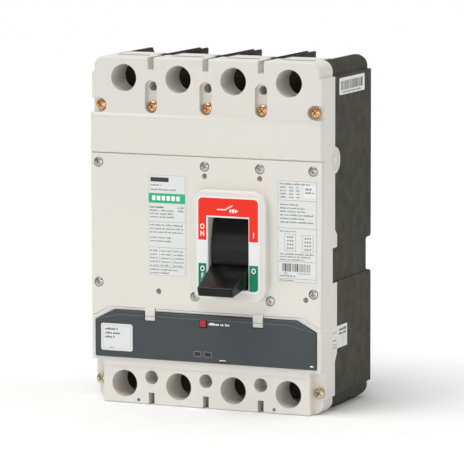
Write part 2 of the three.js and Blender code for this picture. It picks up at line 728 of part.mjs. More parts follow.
// The insulating shaft that turns all the moving contacts, drawn round its own axis.
function makeCrossbar() {
  const { halfLength, r } = CROSSBAR;
  const cranks = [-1, 1].map((side) => {
    const edges = span(side, LAYERS.crank, LAYERS.crank + SHEET).map((x) => x + HANDLE_X);
    const plate = prismX(barShape({ y: 0, z: 0 }, CRANK_PIN, 3.6), edges, 4);
    return cut(plate, rodX([edges[0] - 1, edges[1] + 1], CRANK_PIN.y, CRANK_PIN.z, CRANK_BORE));
  });
  return join(rodX([-halfLength, halfLength], 0, 0, r), ...cranks);
}

// A contact arm standing up from the crossbar, with its tip facing the rear.
function makeContactArm() {
  const outline = polygon([
    [-9, -12],
    [9, -12],
    [9, 8],
    [-1, 30],
    [-4, ARM_TIP - 16],
    [-4, ARM_TIP],
    [-12, ARM_TIP],
    [-13, ARM_TIP - 20],
    [-9, 20],
  ]);
  const tip = box([-ARM_HALF_WIDTH, ARM_HALF_WIDTH], [-5, -1.3], [ARM_TIP - 12, ARM_TIP - 2]);
  const plate = prismX(outline, [-ARM_HALF_WIDTH, ARM_HALF_WIDTH]);
  const shaftBore = rodX([-5, 5], 0, 0, CROSSBAR.r + GAP);
  const pinBore = rodX([-5, 5], CRANK_PIN.y, CRANK_PIN.z, CRANK_BORE);
  return cut(join(plate, tip), shaftBore, pinBore);
}

// A copper strap with a raised pad at its outer end, bored for the terminal screw.
function makeTerminal(x, heights, padHeights, holeZ) {
  const { halfWidth, thickness, padRise } = STRAP;
  const across = [x - halfWidth, x + halfWidth];
  const strap = box(across, [STRAP_Y, STRAP_Y + thickness], heights);
  const pad = box(across, [STRAP_Y - padRise, STRAP_Y + 1], padHeights);
  return cut(join(strap, pad), rodY(x, holeZ, STRAP.bore, [STRAP_Y - 5, STRAP_Y + 5], 12));
}

function makeLineTerminal(x) {
  const contact = box([x - 4, x + 4], [STRAP_Y - 3, STRAP_Y + 1], [168, 178]);
  return join(makeTerminal(x, [166, 251], [212, 251], LINE_HOLE_Z), contact);
}

function makeLoadTerminal(x) {
  return makeTerminal(x, [6.3, 78], [6.3, 34], LOAD_HOLE_Z);
}

// Two fibre side walls that hold a row of splitter plates, notched from below for the contact arm.
function makeArcChute(x) {
  const [rear, front, bottom, top] = [-38.5, -72, 154, 202];
  const walls = [-1, 1].map((side) => {
    const edges = span(side, 15, 16.5).map((across) => across + x);
    return box(edges, [front, rear], [bottom, top]);
  });
  const plates = Array.from({ length: 7 }, (_, i) => {
    const near = front + 1 + i * 5;
    return box([x - 15.5, x + 15.5], [near, near + 1.6], [bottom + 4, top - 2]);
  });
  const notch = box([x - 5.5, x + 5.5], [front - 1, rear + 1], [bottom - 1, 185]);
  return cut(join(...walls, ...plates), notch);
}

function makeTripBody() {
  const { bottom, top, front, rear } = TRIP_BODY;
  const half = POLES[3] + POLE_SPACE / 2 - 0.7;
  const block = box([-half, half], [front, rear], [bottom, top]);
  const pockets = POLES.map((x) => box([x - 14, x + 14], [front - 1, rear - 8], [bottom + 4, top - 4]));
  const ears = [-46, 46].map((x) => {
    const ear = box([x - 2, x + 2], [TRIP_AXIS.y - 5, front + 1], [TRIP_AXIS.z - 6, TRIP_AXIS.z + 6]);
    return cut(ear, rodX([x - 3, x + 3], TRIP_AXIS.y, TRIP_AXIS.z, 3.1, 12));
  });
  return join(cut(block, ...pockets), ...ears);
}

// The bar that the button turns, drawn round its own axis.
function makeTripBar() {
  const paddle = box([BUTTON.x - 4, BUTTON.x + 4], [-2.7, -1], [0, 15]);
  const latch = box([HANDLE_X - 5, HANDLE_X + 5], [-1, 2], [0, 14]);
  return join(rodX([-72, 72], 0, 0, 2.7, 12), paddle, latch);
}

function makeButton() {
  const { x, z, side } = BUTTON;
  const cap = box([x - side / 2, x + side / 2], [PANEL_Y - 0.6, -98], [z - side / 2, z + side / 2]);
  return join(cap, rodY(BUTTON.x, BUTTON.z, 1.5, [-99, -88], 12));
}

// Stickers, each named with its box.
function addLabels() {
  const sheet = 0.2;
  const lift = 0.05;
  const flat = (x, z, level) => box(x, [level - lift - sheet, level - lift], z);
  const rim = { inner: OPENING.halfWidth + 0.4, outer: 24.9, bottom: 88.6, top: 158.8 };
  const frame = box(
    [HANDLE_X - rim.outer, HANDLE_X + rim.outer],
    [BEZEL_Y - lift - sheet, BEZEL_Y - lift],
    [rim.bottom, rim.top],
  );
  const window = box(
    [HANDLE_X - rim.inner, HANDLE_X + rim.inner],
    [BEZEL_Y - 1, BEZEL_Y],
    [OPENING.bottom - 0.4, OPENING.top + 0.4],
  );
  add("rating_label", flat([-45.4, -14.4], [96.6, 172.3], FRONT_Y), MATERIALS.paper);
  add("instruction_label", flat([57.2, 89], [97.3, 172.4], FRONT_Y), MATERIALS.paper);
  add("handle_position_label", cut(frame, window), MATERIALS.paper);
  add("panel_label", flat([-83, -57.4], [39.4, 59.6], PANEL_Y), MATERIALS.paper);
}

function addCase() {
  add("base", makeBase(), MATERIALS.basePlastic);
  add("front_cover", makeFrontCover(), MATERIALS.coverPlastic);
  add("accessory_cover", makeAccessoryCover(), MATERIALS.coverPlastic);
  add("trip_unit_panel", makePanel(), MATERIALS.panelPlastic);
  coverScrewPlaces().forEach((place, i) =>
    add(`cover_screw_${i + 1}`, screw(COVER_SCREW, place), MATERIALS.yellowZinc),
  );
  ACCESSORY_SCREWS.forEach(([x, z], i) => {
    const made = screw(ACCESSORY_SCREW, [x, ACCESSORY_SCREW_Y, z]);
    add(`accessory_cover_screw_${i + 1}`, made, MATERIALS.clearZinc);
  });
}

function addHandle() {
  const pivot = turned(HANDLE_PIVOT, HANDLE_OFF);
  pivot.position.x = HANDLE_X;
  add("handle", makeHandle(), MATERIALS.handlePlastic, pivot);
  add("handle_arm", makeHandleArm(), MATERIALS.steel, pivot);
}

function addMechanism() {
  const centre = new THREE.Group();
  centre.position.x = HANDLE_X;
  group.add(centre);
  const { crank, knee } = togglePins(CONTACT_OPEN);
  const upperPin = { ...knee, reach: LAYERS.lowerLink + SHEET };
  const lowerPin = { ...crank, reach: LAYERS.lowerLink + 1 };
  const upper = makeLink(CRADLE_PIN, knee, LAYERS.upperLink, upperPin, CRADLE_PIN);
  const lower = makeLink(knee, crank, LAYERS.lowerLink, lowerPin, knee);
  const yoke = {
    y: HANDLE_PIVOT.y - YOKE_R * Math.cos(HANDLE_OFF) + 1,
    z: HANDLE_PIVOT.z - YOKE_R * Math.sin(HANDLE_OFF),
  };
  add("side_plate_left", makeSidePlate(-1), MATERIALS.steel, centre);
  add("side_plate_right", makeSidePlate(1), MATERIALS.steel, centre);
  add("cradle", makeCradle(), MATERIALS.steel, centre);
  add("upper_toggle_link", upper, MATERIALS.steel, centre);
  add("lower_toggle_link", lower, MATERIALS.steel, centre);
  add("spring_left", makeSpring(-3, knee, yoke), MATERIALS.steel, centre);
  add("spring_right", makeSpring(3, knee, yoke), MATERIALS.steel, centre);
}

function addContacts() {
  const pivot = turned(CROSSBAR, CONTACT_OPEN);
  add("crossbar", makeCrossbar(), MATERIALS.blackPlastic, pivot);
  terminalPlaces().forEach((place, i) => {
    const end = i < POLES.length ? "line" : "load";
    const name = `${end}_terminal_screw_${(i % POLES.length) + 1}`;
    add(name, screw(TERMINAL_SCREW, place), MATERIALS.clearZinc);
  });
  POLES.forEach((x, i) => {
    const place = new THREE.Group();
    place.position.x = x;
    pivot.add(place);
    add(`contact_arm_${i + 1}`, makeContactArm(), MATERIALS.copper, place);
    add(`line_terminal_${i + 1}`, makeLineTerminal(x), MATERIALS.copper);
    add(`load_terminal_${i + 1}`, makeLoadTerminal(x), MATERIALS.copper);
    add(`arc_chute_${i + 1}`, makeArcChute(x), MATERIALS.fibre);
  });
}

function addTripUnit() {
  add("trip_unit_body", makeTripBody(), MATERIALS.blackPlastic);
  add("trip_bar", makeTripBar(), MATERIALS.blackPlastic, turned(TRIP_AXIS, 0));
  add("push_to_trip_button", makeButton(), MATERIALS.redPlastic);
}

addCase();
addHandle();
addMechanism();
addContacts();
addTripUnit();
addLabels();

export default group;
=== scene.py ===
"""The looks of a four-pole molded case breaker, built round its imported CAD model."""

import json
import math
import random

import bmesh
import bpy
from mathutils import Matrix, Vector

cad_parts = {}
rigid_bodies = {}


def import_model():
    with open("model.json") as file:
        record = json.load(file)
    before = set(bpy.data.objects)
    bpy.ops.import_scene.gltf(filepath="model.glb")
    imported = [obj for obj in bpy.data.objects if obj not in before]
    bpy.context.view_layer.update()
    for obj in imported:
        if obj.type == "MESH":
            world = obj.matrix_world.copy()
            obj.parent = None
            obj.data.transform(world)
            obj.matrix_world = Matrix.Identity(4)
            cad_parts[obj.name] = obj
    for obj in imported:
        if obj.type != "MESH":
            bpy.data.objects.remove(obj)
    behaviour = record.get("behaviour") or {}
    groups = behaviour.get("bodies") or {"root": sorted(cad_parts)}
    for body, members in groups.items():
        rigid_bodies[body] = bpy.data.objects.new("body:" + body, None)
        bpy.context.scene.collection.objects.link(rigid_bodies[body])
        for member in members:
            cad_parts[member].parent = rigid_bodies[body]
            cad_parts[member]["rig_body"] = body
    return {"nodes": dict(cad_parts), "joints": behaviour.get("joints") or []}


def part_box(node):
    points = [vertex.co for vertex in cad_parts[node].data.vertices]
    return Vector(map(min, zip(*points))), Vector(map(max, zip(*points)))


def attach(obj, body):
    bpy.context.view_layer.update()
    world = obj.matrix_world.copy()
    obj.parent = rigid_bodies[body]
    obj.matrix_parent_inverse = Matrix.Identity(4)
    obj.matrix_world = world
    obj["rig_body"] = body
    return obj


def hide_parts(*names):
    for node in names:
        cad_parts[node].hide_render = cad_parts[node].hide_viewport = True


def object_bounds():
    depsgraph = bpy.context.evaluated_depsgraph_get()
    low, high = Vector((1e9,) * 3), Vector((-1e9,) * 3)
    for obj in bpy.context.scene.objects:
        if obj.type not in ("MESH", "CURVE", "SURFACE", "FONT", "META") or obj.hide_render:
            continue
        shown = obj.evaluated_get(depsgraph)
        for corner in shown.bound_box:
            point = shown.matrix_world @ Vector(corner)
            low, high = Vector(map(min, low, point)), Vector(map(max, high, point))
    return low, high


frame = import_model()
cad_box = [list(corner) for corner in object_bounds()]

MM = 0.001
FLOOR_Z = cad_box[0][2]
UP = Vector((0, 0, 1))
FRONT = Vector((0, -1, 0))
RIGHT = Vector((1, 0, 0))

# Points closer than WELD metres are one, and faces that meet at less than FLAT are one.
# An edge shows from SHARP on, and can be rounded from ROUNDED_FROM on.
WELD = 1e-6
FLAT = math.radians(0.6)
SHARP = math.radians(35)
ROUNDED_FROM = math.radians(44)

# Edge radii, in millimetres.
FINE_EDGE = 0.15
INNER_EDGE = 0.3
EDGE = 0.4
PANEL_EDGE = 0.7
SOFT_EDGE = 1.5
BEZEL_EDGE = 1.6

# Printing stands INK proud of its label, and its plates start a little inside it.
# Plates that cross each other differ a little in height. Details on the sides stand out less.
INK = 0.03
SUNK = -0.05
STAGGER = 0.003
FLUSH = 0.02


def at(x, y, z):
    """A point given in millimetres, with z measured up from the load end."""
    return Vector((x * MM, y * MM, FLOOR_Z + z * MM))


# ---------------------------------------------------------------- materials


def tone(red, green, blue):
    """A colour given as it shows on a screen, from 0 to 255."""
    linear = [((c / 255 + 0.055) / 1.055) ** 2.4 if c > 10 else c / 255 / 12.92 for c in (red, green, blue)]
    return (*linear, 1.0)


class Look:
    """A procedural material, with the nodes that feed its shader."""

    def __init__(self, name, metallic=0.0, specular=0.5):
        self.material = bpy.data.materials.new(name)
        self.material.use_nodes = True
        tree = self.material.node_tree
        self.nodes = tree.nodes
        self.links = tree.links
        self.shader = self.nodes["Principled BSDF"]
        self.shader.inputs["Metallic"].default_value = metallic
        self.shader.inputs["Specular IOR Level"].default_value = specular
        self.place = self.nodes.new("ShaderNodeTexCoord").outputs["Object"]
        self.height = None

    def noise(self, scale, detail=3.0, stretch=(1, 1, 1), distortion=0.0):
        """Noise with features about 1 / scale metres across."""
        mapping = self.nodes.new("ShaderNodeMapping")
        mapping.inputs["Scale"].default_value = stretch
        self.links.new(self.place, mapping.inputs["Vector"])
        noise = self.nodes.new("ShaderNodeTexNoise")
        noise.inputs["Scale"].default_value = scale
        noise.inputs["Detail"].default_value = detail
        noise.inputs["Distortion"].default_value = distortion
        self.links.new(mapping.outputs["Vector"], noise.inputs["Vector"])
        return noise.outputs["Fac"]

    def spread(self, value, low, high, start=0.35, end=0.65):
        """Maps a value between start and end onto low to high."""
        ranged = self.nodes.new("ShaderNodeMapRange")
        self.links.new(value, ranged.inputs["Value"])
        ranged.inputs["From Min"].default_value = start
        ranged.inputs["From Max"].default_value = end
        ranged.inputs["To Min"].default_value = low
        ranged.inputs["To Max"].default_value = high
        return ranged.outputs["Result"]

    def mix(self, share, first, second):
        """Mixes two colours, each a colour or an output, by an output's value."""
        mixed = self.nodes.new("ShaderNodeMix")
        mixed.data_type = "RGBA"
        self.links.new(share, mixed.inputs[0])
        for socket, value in ((mixed.inputs[6], first), (mixed.inputs[7], second)):
            if isinstance(value, bpy.types.NodeSocket):
                self.links.new(value, socket)
            else:
                socket.default_value = value
        return mixed.outputs[2]

    def colour(self, output):
        self.links.new(output, self.shader.inputs["Base Color"])
        return self

    def roughness(self, output):
        self.links.new(output, self.shader.inputs["Roughness"])
        return self

    def bump(self, value, depth, strength=1.0):
        """Raises the surface by up to depth metres, on top of what was raised before."""
        bump = self.nodes.new("ShaderNodeBump")
        bump.inputs["Distance"].default_value = depth
        bump.inputs["Strength"].default_value = strength
        self.links.new(value, bump.inputs["Height"])
        if self.height is not None:
            self.links.new(self.height, bump.inputs["Normal"])
        self.height = bump.outputs["Normal"]
        self.links.new(self.height, self.shader.inputs["Normal"])
        return self


def shade(colour, factor):
    """A colour made darker or lighter."""
    return (*[c * factor for c in colour[:3]], 1.0)


def moulded(name, colour, rough, grain, depth, mottle=0.04, specular=0.5):
    """Moulded plastic: faint cloudy flow marks, a fine spark-eroded grain and uneven gloss."""
    look = Look(name, specular=specular)
    clouds = look.spread(look.noise(22, 4), 0, 1)
    specks = look.spread(look.noise(900, 2), 0, 1, 0.3, 0.7)
    flow = look.mix(clouds, shade(colour, 1 - mottle), shade(colour, 1 + mottle))
    look.colour(look.mix(specks, flow, look.mix(clouds, colour, shade(colour, 1 - 1.5 * mottle))))
    look.roughness(look.spread(look.noise(60, 5), rough - 0.06, rough + 0.06))
    look.bump(look.noise(grain, 3), depth, 0.5)
    look.bump(look.noise(35, 2), 6e-5, 0.25)
    return look.material


def filled_polyester(name, colour):
    """Glass-filled moulding compound: darker and lighter fibres in an uneven, slightly glossy skin."""
    look = Look(name, specular=0.12)
    clouds = look.spread(look.noise(16, 5, distortion=0.6), 0, 1)
    fibres = look.spread(look.noise(520, 4, stretch=(1, 1, 0.3)), 0, 1, 0.35, 0.7)
    warm = tone(65, 61, 50)
    cool = tone(57, 59, 50)
    flow = look.mix(clouds, warm, cool)
    look.colour(look.mix(fibres, flow, shade(colour, 1.25)))
    look.roughness(look.spread(look.noise(90, 4), 0.5, 0.68))
    look.bump(look.noise(1400, 3), 4e-5, 0.5)
    look.bump(look.noise(70, 3, stretch=(1, 1, 0.4)), 1e-4, 0.35)
    return look.material


def plated(name, first, second, rough, scale=320, stretch=(1, 1, 1)):
    """Plated metal whose tint drifts, with fine scratches and small dull patches."""
    look = Look(name, metallic=1.0)
    drift = look.spread(look.noise(scale, 3, distortion=0.8), 0, 1)
    look.colour(look.mix(drift, first, second))
    look.roughness(look.spread(look.noise(700, 4), rough - 0.08, rough + 0.1))
    look.bump(look.noise(1500, 2, stretch=stretch), 1.5e-5, 0.6)
    return look.material


def pressed_steel(name):
    """Rolled and blanked sheet: long faint rolling lines over a grey zinc flash."""
    return plated(name, tone(150, 151, 150), tone(118, 120, 122), 0.38, 60, stretch=(1, 1, 0.06))


def vulcanised_fibre(name):
    """Pressed fibre board: reddish strands in a dull skin."""
    look = Look(name, specular=0.25)
    strands = look.noise(700, 5, stretch=(1, 0.2, 1))
    look.colour(look.mix(look.spread(strands, 0, 1), tone(122, 48, 34), tone(160, 76, 54)))
    look.roughness(look.spread(strands, 0.7, 0.9))
    look.bump(strands, 8e-5, 0.6)
    return look.material


def coated_paper(name, colour, rough=0.42):
    """Label stock with a faint fibre and an uneven varnish."""
    look = Look(name, specular=0.4)
    fibres = look.noise(1100, 4, stretch=(1, 1, 0.5))
    look.colour(look.mix(look.spread(fibres, 0, 1), shade(colour, 0.97), shade(colour, 1.02)))
    look.roughness(look.spread(look.noise(120, 3), rough - 0.05, rough + 0.08))
    look.bump(fibres, 1e-5, 0.4)
    return look.material


def ink(name, colour):
    """A printed layer: nearly even, with small thin spots."""
    look = Look(name, specular=0.35)
    spots = look.spread(look.noise(1600, 3), 0, 1, 0.25, 0.6)
    look.colour(look.mix(spots, shade(colour, 1.12), colour))
    look.roughness(look.spread(look.noise(300, 2), 0.4, 0.5))
    return look.material


def studio_floor(name):
    """A pale and nearly even floor."""
    look = Look(name, specular=0.1)
    look.colour(look.mix(look.spread(look.noise(40, 3), 0, 1), tone(247, 247, 247), tone(249, 249, 249)))
    look.roughness(look.spread(look.noise(9, 3), 0.8, 0.9))
    return look.material


COVER = moulded("cover_plastic", tone(224, 221, 213), 0.42, 2600, 2.5e-5, 0.012)
# A darker cover tone for the dial on the side boss: painted shade of its engraving.
DIAL_SHADE = moulded("painted_dial_shade", tone(184, 181, 172), 0.5, 2600, 2e-5)
# The base's own dark plastic, also used for blocks in the vent slots as painted shade.
BASE_AND_VENT_SHADE = filled_polyester("base_plastic", tone(61, 59, 50))
PANEL = moulded("panel_plastic", tone(66, 71, 74), 0.38, 2400, 4e-5, 0.06, 0.35)
# A lighter panel tone for the line near the panel's rim: a painted highlight.
PANEL_HIGHLIGHT = moulded("panel_painted_highlight", tone(112, 117, 120), 0.4, 2400, 4e-5)
HANDLE = moulded("handle_plastic", tone(9, 9, 10), 0.22, 2200, 1.5e-5, 0.12, 0.28)
RED_PLASTIC = moulded("red_plastic", tone(168, 34, 36), 0.3, 2400, 1.5e-5, 0.05)
# Black moulding for inner parts, also drawn as flat plates in the panel's windows and slot: painted shade
# in those openings.
BLACK_MOULDING_AND_PAINTED_SHADE = moulded("black_plastic", tone(34, 34, 35), 0.5, 1600, 4e-5, 0.1)
YELLOW_ZINC = plated("yellow_zinc", tone(230, 190, 144), tone(206, 144, 106), 0.24)
PALE_BRASS = plated("pale_brass", tone(212, 200, 172), tone(182, 160, 126), 0.3)
CLEAR_ZINC = plated("clear_zinc", tone(198, 201, 196), tone(168, 173, 168), 0.26)
STEEL = pressed_steel("steel")
COPPER = plated("copper", tone(196, 128, 92), tone(172, 104, 74), 0.34, 120, stretch=(1, 1, 0.1))
FIBRE = vulcanised_fibre("fibre")
PAPER = coated_paper("paper", tone(226, 227, 225))
BRIGHT_PAPER = coated_paper("bright_paper", tone(236, 236, 234), 0.38)
# Grey print, also drawn as a line inside the rating label's edge: painted shadow there.
GREY_INK_AND_EDGE_SHADOW = ink("grey_print_and_edge_shadow", tone(128, 128, 126))
DARK_INK = ink("dark_ink", tone(52, 54, 58))
WHITE_INK = ink("white_ink", tone(248, 248, 246))
RED_INK = ink("red_ink", tone(236, 38, 14))
GREEN_INK = ink("green_ink", tone(0, 126, 92))
BAND_GREEN_INK = ink("band_green_ink", tone(38, 178, 122))

# ---------------------------------------------------------------- building


def show(name, mesh, material, body="case"):
    """Adds a piece of the object that rides on a body."""
    mesh.materials.clear()
    mesh.materials.append(material)
    piece = bpy.data.objects.new(name, mesh)
    bpy.context.scene.collection.objects.link(piece)
    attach(piece, body)
    return piece


def mesh_of(bm, name, smooth=False):
    """Turns a bmesh into a mesh and frees it."""
    bmesh.ops.recalc_face_normals(bm, faces=bm.faces)
    for face in bm.faces:
        face.smooth = smooth
    mesh = bpy.data.meshes.new(name)
    bm.to_mesh(mesh)
    bm.free()
    return mesh


def bevelled(piece, width, segments=3, weighted=True):
    """Rounds a piece's edges by width millimetres and evens out its shading."""
    bevel = piece.modifiers.new("Rounded_edges", "BEVEL")
    bevel.limit_method = "WEIGHT" if weighted else "ANGLE"
    bevel.angle_limit = SHARP
    bevel.width = width * MM
    bevel.segments = segments
    bevel.use_clamp_overlap = False
    bevel.loop_slide = False
    normals = piece.modifiers.new("Even_shading", "WEIGHTED_NORMAL")
    normals.keep_sharp = True
    return piece


def body_of(node):
    """The body that a CAD node rides on."""
    return frame["nodes"][node]["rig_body"]


def rounded_copy(node, material, radius_of, segments=3):
    """Stands for a CAD node: the same solid, with its flat faces whole and its outer edges rounded.

    radius_of gives the radius of an outer edge in millimetres, from the two ends of the edge.
    """
    source = frame["nodes"][node].data
    bm = bmesh.new()
    corners = [bm.verts.new(v.co) for v in source.vertices]
    for polygon in source.polygons:
        bm.faces.new([corners[i] for i in polygon.vertices])
    bmesh.ops.remove_doubles(bm, verts=bm.verts, dist=WELD)
    bmesh.ops.dissolve_limit(bm, angle_limit=FLAT, verts=bm.verts, edges=bm.edges)
    weights = bm.edges.layers.float.new("bevel_weight_edge")
    radii = {}
    for edge in bm.edges:
        edge.smooth = True
        if len(edge.link_faces) != 2 or edge.calc_face_angle() < SHARP:
            continue
        radius = 0.0
        if edge.is_convex and edge.calc_face_angle() > ROUNDED_FROM:
            radius = radius_of(edge.verts[0].co, edge.verts[1].co)
        edge.smooth = radius > 0
        radii[edge] = radius
    widest = max(radii.values(), default=0) or EDGE
    for edge, radius in radii.items():
        edge[weights] = radius / widest
    for face in bm.faces:
        face.smooth = True
    mesh = bpy.data.meshes.new(f"{node}_surface")
    bm.to_mesh(mesh)
    bm.free()
    piece = show(f"{node}_surface", mesh, material, body_of(node))
    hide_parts(node)
    return bevelled(piece, widest, segments)


def sheet_on(origin, across, normal):
    """Lays out a flat patch: millimetres across, up and out from an origin."""
    sheet = Matrix.Identity(4)
    for i, axis in enumerate((across, UP, normal)):
        sheet.col[i] = (*(axis * MM), 0)
    sheet.col[3] = (*origin, 1)
    return sheet


def label_sheet(node):
    """The patch over a label on the front, from its lower left corner, and its width and height."""
    low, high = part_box(node)
    sheet = sheet_on(low, RIGHT, FRONT)
    return sheet, (high.x - low.x) / MM, (high.z - low.z) / MM


def rectangle(left, bottom, right, top):
    """The corners of a rectangle, from the lower left one round."""
    return [(left, bottom), (right, bottom), (right, top), (left, top)]


def rounded(left, bottom, right, top, radii, steps=6):
    """A rectangle with a radius for each corner, from the lower left one round."""
    corners = [
        (left, bottom, 1, 1, 180),
        (right, bottom, -1, 1, 270),
        (right, top, -1, -1, 0),
        (left, top, 1, -1, 90),
    ]
    points = []
    for (u, v, inward, upward, start), radius in zip(corners, radii):
        for i in range(steps + 1 if radius else 1):
            angle = math.radians(start + 90 * i / steps)
            centre = (u + inward * radius, v + upward * radius)
            points.append((centre[0] + radius * math.cos(angle), centre[1] + radius * math.sin(angle)))
    return points


def disc(u, v, radius, steps=28):
    """The points of a circle."""
    turns = [2 * math.pi * i / steps for i in range(steps)]
    return [(u + radius * math.cos(t), v + radius * math.sin(t)) for t in turns]


def stroke(points, width):
    """The outlines of a line of even width through some points."""
    outlines = []
    for (u0, v0), (u1, v1) in zip(points, points[1:]):
        length = math.hypot(u1 - u0, v1 - v0)
        du, dv = (u1 - u0) / length * width / 2, (v1 - v0) / length * width / 2
        outlines.append(
            [
                (u0 - du - dv, v0 - dv + du),
                (u0 - du + dv, v0 - dv - du),
                (u1 + du + dv, v1 + dv - du),
                (u1 + du - dv, v1 + dv + du),
            ]
        )
    return outlines


def box_outline(left, bottom, right, top, width):
    """A drawn box: four lines."""
    return stroke([(left, bottom), (right, bottom), (right, top), (left, top), (left, bottom)], width)


def plates(name, sheet, outlines, material, low=SUNK, high=INK, body="case"):
    """Thin closed plates on a patch, one for each outline."""
    bm = bmesh.new()
    for number, outline in enumerate(outlines):
        step = STAGGER * (number % 5)
        top = [bm.verts.new(sheet @ Vector((u, v, high + step))) for u, v in outline]
        bottom = [bm.verts.new(sheet @ Vector((u, v, low - step))) for u, v in outline]
        bm.faces.new(top)
        bm.faces.new(bottom[::-1])
        for i, corner in enumerate(top):
            bm.faces.new((corner, top[i - 1], bottom[i - 1], bottom[i]))
    return show(name, mesh_of(bm, name), material, body)


def rings(name, sheet, circles, material, low, high, body="case", steps=40):
    """Flat rings on a patch, each given by its middle, inner radius and outer radius."""
    bm = bmesh.new()
    for u, v, inner, outer in circles:
        loops = [
            [bm.verts.new(sheet @ Vector((*point, lift))) for point in disc(u, v, radius, steps)]
            for radius, lift in ((inner, low), (inner, high), (outer, high), (outer, low))
        ]
        for loop, following in zip(loops, loops[1:] + loops[:1]):
            for i in range(steps):
                bm.faces.new((loop[i - 1], loop[i], following[i], following[i - 1]))
    return show(name, mesh_of(bm, name), material, body)


def skin(bm, sections):
    """Joins a row of four-cornered sections into one closed solid."""
    for one, following in zip(sections, sections[1:]):
        for i in range(4):
            bm.faces.new((one[i - 1], one[i], following[i], following[i - 1]))
    bm.faces.new(sections[0])
    bm.faces.new(sections[-1][::-1])


def greeked(rng, left, right, base, height, bold=1.0):
    """Blocks in groups like words, which stand in for a line of small print."""
    outlines = []
    u = left
    while True:
        for _ in range(rng.randint(2, 8)):
            width = height * rng.uniform(0.42, 0.7) * bold
            if u + width > right:
                return outlines
            tall = height * rng.choice((0.7, 0.7, 1.0))
            outlines.append(rectangle(u, base, u + width, base + tall))
            u += width + 0.2 * height
        u += 0.55 * height


def barcode(rng, left, right, bottom, top):
    """Bars of random widths between two edges."""
    outlines = []
    u = left
    while u < right - 1.2:
        width = rng.choice((0.3, 0.35, 0.6, 0.95))
        outlines.append(rectangle(u, bottom, u + width, top))
        u += width + rng.choice((0.3, 0.45, 0.8))
    return outlines


def letter(text, sheet, u, v, size, weight):
    """The mesh of one plain capital or figure, centred on a place of a patch."""
    curve = bpy.data.curves.new("letter", "FONT")
    curve.body = text
    curve.size = size
    curve.offset = weight
    curve.extrude = (INK - SUNK) / 2
    curve.resolution_u = 6
    curve.align_x = "CENTER"
    curve.align_y = "CENTER"
    holder = bpy.data.objects.new("letter", curve)
    bpy.context.scene.collection.objects.link(holder)
    bpy.context.view_layer.update()
    mesh = bpy.data.meshes.new_from_object(holder.evaluated_get(bpy.context.evaluated_depsgraph_get()))
    middle = (INK + SUNK) / 2 + INK
    mesh.transform(sheet @ Matrix.Translation((u, v, middle)) @ Matrix.Diagonal((0.8, 1, 1, 1)))
    bpy.data.objects.remove(holder)
    bpy.data.curves.remove(curve)
    return mesh


def lettering(name, sheet, letters, material, size, weight=0.12):
    """Several plain letters as one piece."""
    bm = bmesh.new()
    for text, u, v in letters:
        mesh = letter(text, sheet, u, v, size, weight)
        bm.from_mesh(mesh)
        bpy.data.meshes.remove(mesh)
    bmesh.ops.remove_doubles(bm, verts=bm.verts, dist=WELD)
    return show(name, mesh_of(bm, name), material)


# ---------------------------------------------------------------- case

COVER_LOW, COVER_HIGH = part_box("front_cover")
HALF_WIDTH = COVER_HIGH.x / MM
HEIGHT = (COVER_HIGH.z - COVER_LOW.z) / MM
POLE_PITCH = 43.7
SIDE_WALL = 5

# The ends of the cover are narrower than its middle, and have round corners.
END_STEP = 2
END_HEIGHT = 11.7
END_RADIUS = 8
ON_EDGE = 0.2

# Levels in depth, from the mounting face, that tell which part of the front an edge belongs to.
SHELF_LEVEL = -94
POCKET_FLOOR = -97.5
FRONT_LEVELS = -98
ACCESSORY_LEVEL = -101.5
PANEL_LEVEL = -103.5
BEZEL_LEVEL = -108.5

# Heights from the load end.
LOAD_END = 5
POCKETS_FROM, POCKETS_TO = 34, 187
RAMP_TOP = 215.6
RAMP_MARGIN = 0.8

# Each dark block in a vent slot, painted shade: half its width, its levels in depth and its heights.
VENT_HALF_WIDTH = 13.2
VENT_FRONT, VENT_REAR = -83.8, -77.2
VENT_BOTTOM, VENT_TOP = 250.6, 257


def on_outline(point):
    """Whether a point lies on the outside of the case, as seen from the front."""
    x = abs(point.x) / MM
    z = (point.z - FLOOR_Z) / MM
    z = min(z, HEIGHT - z)
    corner = HALF_WIDTH - END_STEP - END_RADIUS
    if x > HALF_WIDTH - ON_EDGE or z < ON_EDGE:
        return True
    if z < END_HEIGHT + ON_EDGE and x > HALF_WIDTH - END_STEP - ON_EDGE:
        return True
    return x > corner and z < END_RADIUS and math.hypot(x - corner, z - END_RADIUS) > END_RADIUS - ON_EDGE


def cover_radius(first, second):
    """The front edges all round the cover are soft, the others crisp, and those out of sight sharp."""
    front = max(first.y, second.y) / MM
    outer = on_outline(first) and on_outline(second)
    height = ((first.z + second.z) / 2 - FLOOR_Z) / MM
    from_ramp_top = abs(height - RAMP_TOP)
    if front < FRONT_LEVELS and outer and from_ramp_top > RAMP_MARGIN:
        return SOFT_EDGE
    if height < LOAD_END and front < FRONT_LEVELS and abs(first.x - second.x) < MM:
        return FINE_EDGE
    if from_ramp_top < RAMP_MARGIN:
        return 0.0
    if front > POCKET_FLOOR and POCKETS_FROM < height < POCKETS_TO and not outer:
        return 0.0
    return EDGE if outer or front < SHELF_LEVEL else 0.0


def base_radius(first, second):
    """The outside of the base is a little rounded, and its pole spaces are sharp."""
    beside = min(abs(first.x), abs(second.x)) > (HALF_WIDTH - SIDE_WALL) * MM
    behind = min(first.y, second.y) > -ON_EDGE * MM
    at_end = abs(first.z - second.z) < ON_EDGE * MM and on_outline(first) and on_outline(second)
    return EDGE if beside or behind or at_end else 0.0


